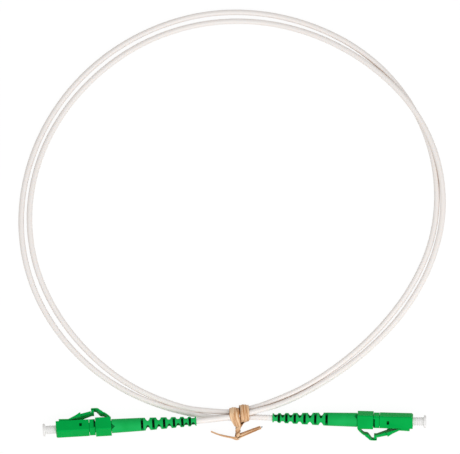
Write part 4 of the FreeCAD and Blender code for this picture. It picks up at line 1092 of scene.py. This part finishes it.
def floor_material():
    """A white paper sheet: to the camera mostly plain white, to everything else a pale matt floor.

    A little of what the camera sees of it is a dark matt surface, which lets the shadows show.
    """
    material, tree = new_material("White paper sheet")
    seen = background_rays(tree)
    matt = add(tree, "BsdfDiffuse", {"Color": colour(linear("#D4CDC5"))})
    shadowed = add(tree, "BsdfDiffuse", {"Color": colour(linear("#505050"))})
    white = add(tree, "Emission", {"Color": WHITE, "Strength": 0.94})
    shown = add(tree, "AddShader", {0: shadowed.outputs[0], 1: white.outputs[0]})
    both = add(tree, "MixShader", {0: seen, 1: matt.outputs[0], 2: shown.outputs[0]})
    add(tree, "OutputMaterial", {"Surface": both.outputs[0]})
    return material


def studio_world(strength):
    """Even white light all round, and plain white where the camera looks past the floor."""
    world = bpy.data.worlds.new("Studio")
    world.use_nodes = True
    tree = world.node_tree
    tree.nodes.clear()
    light = add(tree, "Background", {"Color": WHITE, "Strength": strength})
    white = add(tree, "Background", {"Color": WHITE, "Strength": 1.0})
    both = add(tree, "MixShader", {0: background_rays(tree), 1: light.outputs[0], 2: white.outputs[0]})
    add(tree, "OutputWorld", {"Surface": both.outputs[0]})
    return world


# The picture's middle, the key light's place and how wide it is, and how far the floor reaches
MIDDLE = Vector((-1.82 * MM, 72.19 * MM, 1.0 * MM))
KEY_PLACE = Vector((0.2, -0.42, 0.62))
KEY_SIZE = 0.6
FLOOR_REACH = 3.0


def area_light(name, place, size, power):
    """A square soft light that faces the picture's middle."""
    lamp = bpy.data.lights.new(name, "AREA")
    lamp.shape = "SQUARE"
    lamp.size = size
    lamp.energy = power
    made = add_object(name, lamp)
    made.location = place
    made.rotation_mode = "QUATERNION"
    made.rotation_quaternion = (MIDDLE - place).to_track_quat("-Z", "Y")


class PATCHCORD_OT_stage(Operator):
    """Add the floor, the key light, the white surroundings and the camera above"""

    bl_idname = "patch_cord.add_stage"
    bl_label = "Stage"

    def execute(self, context):
        sizes = context.scene.patch_stage
        mesh = bpy.data.meshes.new("floor")
        corners = [(-1, -1, 0), (1, -1, 0), (1, 1, 0), (-1, 1, 0)]
        mesh.from_pydata((FLOOR_REACH * np.array(corners)).tolist(), [], [(0, 1, 2, 3)])
        floor = add_object("floor", mesh)
        floor.data.materials.append(floor_material())
        area_light("Key light", KEY_PLACE, KEY_SIZE, sizes.key)
        context.scene.world = studio_world(sizes.sky)
        lens = bpy.data.cameras.new("Camera")
        lens.sensor_width = 36.0
        lens.lens = lens.sensor_width * sizes.distance / (PICTURE_WIDTH / PIXELS_PER_MM * MM)
        lens.clip_start, lens.clip_end = 0.05, 20.0
        camera = add_object("Camera", lens)
        back = Vector((0.0, -math.sin(sizes.tilt), math.cos(sizes.tilt)))
        camera.location = MIDDLE + back * sizes.distance
        camera.rotation_mode = "QUATERNION"
        camera.rotation_quaternion = (-back).to_track_quat("-Z", "Y")
        context.scene.camera = camera
        context.scene.view_settings.view_transform = "Standard"
        return {"FINISHED"}


class PATCHCORD_PT_panel(Panel):
    """Sizes, colours and the operators that add each group of pieces"""

    bl_idname = "PATCHCORD_PT_panel"
    bl_label = "Patch Cord"
    bl_space_type = "VIEW_3D"
    bl_region_type = "UI"
    bl_category = "Patch Cord"

    def draw(self, context):
        for group, _ in GROUPS:
            box = self.layout.box()
            settings = getattr(context.scene, group)
            for key in settings.bl_rna.properties.keys():
                if key not in ("rna_type", "name"):
                    box.prop(settings, key)
        for operator in STEPS:
            self.layout.operator(operator.bl_idname)


GROUPS = [
    ("patch_cable", CableSettings),
    ("patch_plug", PlugSettings),
    ("patch_tie", TieSettings),
    ("patch_stage", StageSettings),
]
STEPS = [
    PATCHCORD_OT_stage,
    PATCHCORD_OT_mouldings,
    PATCHCORD_OT_caps,
    PATCHCORD_OT_inner,
    PATCHCORD_OT_tie,
    PATCHCORD_OT_cable,
]
CLASSES = [group for _, group in GROUPS] + STEPS + [PATCHCORD_PT_panel]


def register():
    """Register the classes and hang the settings on the scene."""
    for item in CLASSES:
        bpy.utils.register_class(item)
    for name, group in GROUPS:
        setattr(bpy.types.Scene, name, PointerProperty(type=group))


def unregister():
    """Take the settings and the classes away again."""
    for name, _ in reversed(GROUPS):
        delattr(bpy.types.Scene, name)
    for item in reversed(CLASSES):
        bpy.utils.unregister_class(item)


def main():
    """Build everything in order."""
    register()
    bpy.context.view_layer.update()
    bpy.ops.patch_cord.add_stage()
    bpy.ops.patch_cord.add_mouldings()
    bpy.ops.patch_cord.add_caps()
    bpy.ops.patch_cord.finish_inner()
    bpy.ops.patch_cord.add_tie()
    bpy.ops.patch_cord.add_cable()


if __name__ == "__main__":
    main()
